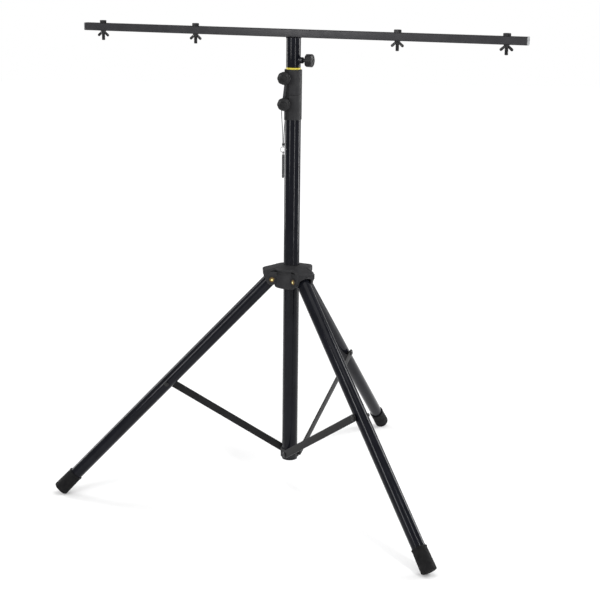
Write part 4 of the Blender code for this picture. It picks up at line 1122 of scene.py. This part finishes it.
def makeBraceBolt(side):
    # a cross bolt: a turned spacer on the brace's side and a lock nut on the other
    sizes = legSizes
    spacer, plane = sizes["radius"] + gap, sizes["bracePlane"]
    foot, deep, pin = -sizes["radius"] - gap, sizes["nutHeight"], sizes["pinRadius"]
    shank = [
        (pin, foot - 0.2 * deep, 0), (pin, spacer, 0), (sizes["spacer"], spacer, 0.0008),
        (sizes["spacer"], plane - gap, 0.0006),
    ]
    bolt = asPiece("braceBolt_" + side, spun(shank, 3, 48))
    weld(bolt, slab(hexagon(sizes["nutFlats"]), foot - 0.62 * deep, foot, 0.0005))
    collar = [
        (0.0026, foot - deep, 0.0004), (0.0028, foot - 0.9 * deep, 0.0003),
        (0.0050, foot - 0.92 * deep, 0.0008), (0.0054, foot - 0.3 * deep, 0),
    ]
    weld(bolt, spun(collar, 3, 40))
    settle(bolt, "leg_" + side, "blackSteel", "brace_bolt_" + side,
           place=legFrame(side) @ upAlong((0, 0, -sizes["braceOnLeg"]), (0, -1, 0)))


braceSizes = {
    "length": 0.3735, "width": 0.020, "thickness": collarSizes["braceThickness"], "edge": 0.0007,
    "hole": 0.0043,
}


def braceFrame(side):
    # a brace's own X runs from the collar to the leg
    low = Vector(joints["brace_" + side + "_turn"]["pos_m"])
    joint = legFrame(side) @ Vector((0, 0, -legSizes["braceOnLeg"]))
    run = hypot(joint.x - low.x, joint.y - low.y)
    slope = atan2(joint.z - low.z, run)
    return at(*low) @ legTurns[side] @ Matrix.Rotation(-slope, 4, "Y")


def makeBrace(side):
    sizes = braceSizes
    half = sizes["width"] / 2
    outline = arcPoints((0, 0), half, 90, 270, 24) + arcPoints((sizes["length"], 0), half, -90, 90, 24)
    brace = asPiece("brace_" + side, slab(outline, 0, sizes["thickness"], sizes["edge"], 3))
    for spot in (0, sizes["length"]):
        drill(brace, at(spot), sizes["hole"], -0.01, 0.01)
    stand = at(y=-legSizes["bracePlane"]) @ faceOn
    settle(brace, "brace_" + side, "braceCoat", "brace_" + side, place=braceFrame(side) @ stand)
    shape = rivetShape(gap / 2, legSizes["pinRadius"], sizes["thickness"] + gap)
    spot = braceFrame(side) @ upAlong((sizes["length"], -legSizes["bracePlane"], 0), (0, -1, 0))
    rivet = asPiece("braceRivet_" + side, moved(shape, spot))
    settle(rivet, "brace_" + side, "blackSteel", "brace_rivet_" + side)


for side in legNames:
    makeLeg(side)
    makeFoot(side)
    makeBraceBolt(side)
    makeBrace(side)
print("legs, feet and braces made")


# The T-bar: its sleeve, the square bar, the end caps and the fixture bolts

barSizes = {
    "sleeveRadius": 0.01855, "sleeveHeight": 0.0748, "roof": 0.004, "boss": 0.0080,
    "bossReach": knobSizes["barReach"], "knobHeight": 0.0182, "side": 0.020, "wall": 0.0015,
    "corner": 0.0020, "length": 1.200, "cap": 0.0025, "azimuth": -21.9, "capEdge": 0.0006, "spigot": 0.012,
    "boltInset": 0.053, "innerShare": 0.4573, "stud": 0.0045, "studDrop": 0.0248,
    "acrossFlats": 0.0170, "headHeight": 0.0068, "thread": 0.00125, "threadDepth": 0.00055,
    "nutTop": 0.0075, "nutFoot": 0.0060, "nutHeight": 0.0085, "wingSpan": 0.0336, "wingDrop": 0.0154,
    "wingTip": 0.0036, "wingRoot": 0.0032, "wingThickness": 0.0032,
}
sleeveFoot = Vector(joints["tbar_swivel"]["pos_m"])
sleeveFoot.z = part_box("tbar_sleeve")[0][2]
swivelTurn = turned(barSizes["azimuth"], "Z")
barFoot = at(z=sleeveFoot.z + barSizes["sleeveHeight"] + gap) @ swivelTurn


def makeSleeve():
    sizes = barSizes
    radius, height = sizes["sleeveRadius"], sizes["sleeveHeight"]
    sleeve = asPiece("barSleeve", spun([(radius, 0, 0.0009), (radius, height, 0.0006)], 4, 96))
    knob = upAlong((0, 0, sizes["knobHeight"]), (1, 0, 0))
    boss, wide = sizes["boss"], sizes["boss"] + 0.0012
    corners = [(wide, 0, 0), (wide, radius - 0.0005, 0.0006), (boss, radius + 0.0012, 0.001),
               (boss, sizes["bossReach"], 0.0008)]
    weld(sleeve, spun(corners, 4, 48), knob)
    bore = columnSizes["topRadius"] + gap
    roof = height - sizes["roof"]
    room = [(0, -0.01), (bore + 0.0006, -0.01), (bore + 0.0006, 0.0001), (bore, 0.0010),
            (bore, roof), (0, roof)]
    carve(sleeve, lathe(room, 96))
    drill(sleeve, knob, screw + gap, 0, 0.05)
    settle(sleeve, "tbar_assembly", "tubeCoat", "tbar_sleeve", place=at(*sleeveFoot) @ swivelTurn)


def makeWeld():
    # the bead that ties the bar to the sleeve, with the ripples of a hand weld
    sizes = barSizes
    radius, height = sizes["sleeveRadius"] - 0.0006, sizes["sleeveHeight"] - 0.0008
    points, radii = [], []
    for step in range(160):
        angle = 2 * pi * step / 160
        points.append(Vector((radius * cos(angle), radius * sin(angle), height)))
        radii.append(0.0016 + 0.00018 * sin(34 * angle) + 0.00012 * sin(5 * angle + 1))
    bead = asPiece("sleeveWeld", sweep(points, 0.0016, 12, closed=True, radii=radii))
    inside = sizes["side"] / 2 - 0.0006
    carve(bead, block((-0.03, -inside, -0.01), (0.03, inside, 0.2)), "INTERSECT")
    settle(bead, "tbar_assembly", "tubeCoat", place=at(*sleeveFoot) @ swivelTurn)


def squareOutline(half, corner, steps=5):
    points = []
    for index, (x, y) in enumerate(((1, 1), (-1, 1), (-1, -1), (1, -1))):
        middle = (x * (half - corner), y * (half - corner))
        points += arcPoints(middle, corner, 90 * index, 90 * index + 90, steps)
    return points


def boltStations():
    outer = barSizes["length"] / 2 - barSizes["boltInset"]
    inner = barSizes["length"] / 2 * barSizes["innerShare"]
    return (-outer, -inner, inner, outer)


def makeBar():
    sizes = barSizes
    half = sizes["length"] / 2 - sizes["cap"] - gap
    along = upAlong((0, 0, sizes["side"] / 2), (1, 0, 0))
    outline = squareOutline(sizes["side"] / 2, sizes["corner"])
    bar = asPiece("squareBar", slab(outline, -half, half, 0.0003, 2))
    inside = squareOutline(sizes["side"] / 2 - sizes["wall"], sizes["corner"] / 2)
    carve(bar, slab(inside, -1, 1))
    bar.data.transform(along)
    for station in boltStations():
        drill(bar, at(station), sizes["stud"] + 2 * gap, -0.02, 0.04)
    settle(bar, "tbar_assembly", "satinBar", "tbar", place=barFoot)
    level = barFoot.to_3x3().inverted()  # painted shade: its rounded edges get the darker knob finish
    recoatWhere(bar, "knobBlackAndPaintedShade", lambda face: max(map(abs, level @ face.normal)) < 0.97)


def makeBarCap(side, way):
    # a flat push-in cap with a rounded edge and a faint moulded recess
    sizes = barSizes
    half, thick = sizes["side"] / 2, sizes["cap"]
    outline = squareOutline(half, sizes["corner"], 6)
    cap = asPiece("barCap" + side.title(), slab(outline, gap, gap + thick, sizes["capEdge"], 3))
    plug = squareOutline(half - sizes["wall"] - gap, sizes["corner"] / 2)
    weld(cap, slab(plug, -sizes["spigot"], gap + thick / 2))
    recess = squareOutline(0.62 * sizes["side"] / 2, 0.0015)
    carve(cap, slab(recess, gap + thick - 0.00035, 0.02))
    end = sizes["length"] / 2 - thick - gap
    settle(cap, "tbar_assembly", "endCapGrey", "bar_cap_" + side,
           place=barFoot @ upAlong((way * end, 0, half), (way, 0, 0)))


def makeFixtureBolt(number, station):
    # a hexagon head with a chamfered top, a washer face and a cut thread below the bar
    sizes = barSizes
    top, flat, middle = gap + sizes["headHeight"], sizes["acrossFlats"] / 2, gap + 0.5 * sizes["headHeight"]
    head = slab(hexagon(sizes["acrossFlats"], 0.0004), gap, top)
    bolt = asPiece("fixtureBolt_%d" % number, head)
    dome = [
        (0, 0), (flat + 0.0008, 0), (1.17 * flat, gap + 0.0007), (1.17 * flat, top - 0.0012),
        (0.96 * flat, top), (0.50 * flat, top), (0.46 * flat, top - 0.00025), (0, top - 0.00025),
    ]
    carve(bolt, lathe(dome, 72), "INTERSECT")
    radius, pitch, deep = sizes["stud"], sizes["thread"], sizes["threadDepth"]
    tip, start = -sizes["side"] - sizes["studDrop"], -sizes["side"] + 0.002
    rings = round((start - tip) / (pitch / 5))
    profile = [(0, tip)] + [(radius, tip + (start - tip) * step / rings) for step in range(rings + 1)]
    profile += [(radius, middle), (0, middle)]

    def helix(index, angle):
        height = profile[index][1]
        if height > start:
            return 0
        phase = ((height - tip) / pitch - angle / (2 * pi)) % 1.0
        cut = deep * (1 - abs(2 * phase - 1)) * min(1.0, (start - height) / pitch)
        return cut + 0.2 * radius * max(0.0, 1 - (height - tip) / (0.6 * pitch))

    weld(bolt, lathe(profile, 36, drawn=helix))
    settle(bolt, "tbar_assembly", "blackSteel", "fixture_bolt_%d" % number,
           place=barFoot @ at(station, 0, sizes["side"]))


def makeWingNut(number, station):
    sizes = barSizes
    height = sizes["nutHeight"]
    corners = [(sizes["nutFoot"], -height, 0.0010), (sizes["nutTop"], -gap, 0.0006)]
    nut = asPiece("wingNut_%d" % number, spun(corners, 4, 64))
    thick, tip, root = sizes["wingThickness"], sizes["wingTip"], sizes["wingRoot"]
    for way in (1, -1):
        near = Vector((way * (sizes["nutTop"] - root), -height / 2))
        far = Vector((way * (sizes["wingSpan"] / 2 - tip), tip - sizes["wingDrop"]))
        lean = degrees(atan2(far.y - near.y, far.x - near.x))
        opening = degrees(asin((root - tip) / (far - near).length))
        outline = arcPoints(near, root, lean + 90 + opening, lean + 270 - opening, 20)
        outline += arcPoints(far, tip, lean - 90 - opening, lean + 90 + opening, 20)
        weld(nut, slab(outline, -thick / 2, thick / 2, 0.0013, 5), faceOn)
    drill(nut, Matrix(), sizes["stud"] + gap, -0.03, 0.01, 36)
    nut.data.transform(barFoot @ at(station))
    body = "wing_nut_%d" % number
    settle(nut, body, "blackSteel", body)


makeSleeve()
makeWeld()
makeBar()
makeBarCap("left", -1)
makeBarCap("right", 1)
for number, station in enumerate(boltStations(), 1):
    makeFixtureBolt(number, station)
    makeWingNut(number, station)
print("T-bar made")


# The studio: a pale floor, a white background and soft lamps

studio = {
    "floor": 0.86, "floorReach": 12.0, "ambient": 0.45, "lampsAimAt": (0, 0, 0.7),
    "floorGlow": (0.05, 0.64), "glowReach": (1.0, 3.6),  # none where the shadow falls, more far off
    "lamps": {
        # azimuth from the viewer's side, distance, height, width, length, power
        "rightStrip": (29, 3.0, 1.5, 0.24, 2.8, 42),
        "rearRight": (106, 2.6, 1.4, 0.5, 2.6, 60),
        "leftStrip": (-40, 3.0, 1.9, 0.4, 2.4, 44),
        "rearLeft": (-120, 2.8, 1.4, 0.6, 2.4, 40),
        "overhead": (0, 0.6, 3.6, 2.4, 2.4, 30),
    },
}


def makeFloor():
    finish, tree, shader = startFinish("paleFloor")
    place = addNode(tree, "TexCoord", "Object", {})
    away = addNode(tree, "VectorMath", "Value", {0: place}, "LENGTH")
    fade = spread(tree, away, *studio["floorGlow"], *studio["glowReach"])
    seen = addNode(tree, "LightPath", "Is Camera Ray", {})
    glow = addNode(tree, "Math", "Value", {0: fade, 1: seen}, "MULTIPLY")
    pale, paler = (studio["floor"] - 0.01,) * 3, (studio["floor"],) * 3
    fill(tree, shader, {
        "Roughness": 0.9, "Base Color": twoTone(tree, noiseAt(tree, place, 1.5, 3), pale, paler),
        "Emission Color": (1, 1, 1, 1), "Emission Strength": glow,
    })
    ground = bmesh.new()
    bmesh.ops.create_grid(ground, x_segments=8, y_segments=8, size=studio["floorReach"])
    floor = asPiece("paleFloor", ground)
    floor.data.materials.append(finish)


def makeWorld():
    # white where the camera sees it, dimmer as a light
    world = bpy.data.worlds.new("studioWorld")
    bpy.context.scene.world = world
    world.use_nodes = True
    tree = world.node_tree
    seen = addNode(tree, "LightPath", "Is Camera Ray", {})
    strength = spread(tree, seen, studio["ambient"], 1.0, 0.0, 1.0)
    fill(tree, tree.nodes["Background"], {"Color": (1, 1, 1, 1), "Strength": strength})


def makeLamps():
    for name, (azimuth, distance, height, width, length, power) in studio["lamps"].items():
        lamp = bpy.data.lights.new(name, "AREA")
        lamp.shape = "RECTANGLE"
        lamp.size, lamp.size_y, lamp.energy = width, length, power
        holder = bpy.data.objects.new(name, lamp)
        bpy.context.collection.objects.link(holder)
        turn = radians(azimuth)
        spot = Vector((distance * sin(turn), -distance * cos(turn), height))
        aim = Vector(studio["lampsAimAt"]) - spot
        holder.matrix_world = Matrix.Translation(spot) @ aim.to_track_quat("-Z", "Y").to_matrix().to_4x4()
        holder.visible_camera = False


makeFloor()
makeWorld()
makeLamps()
print("studio set")
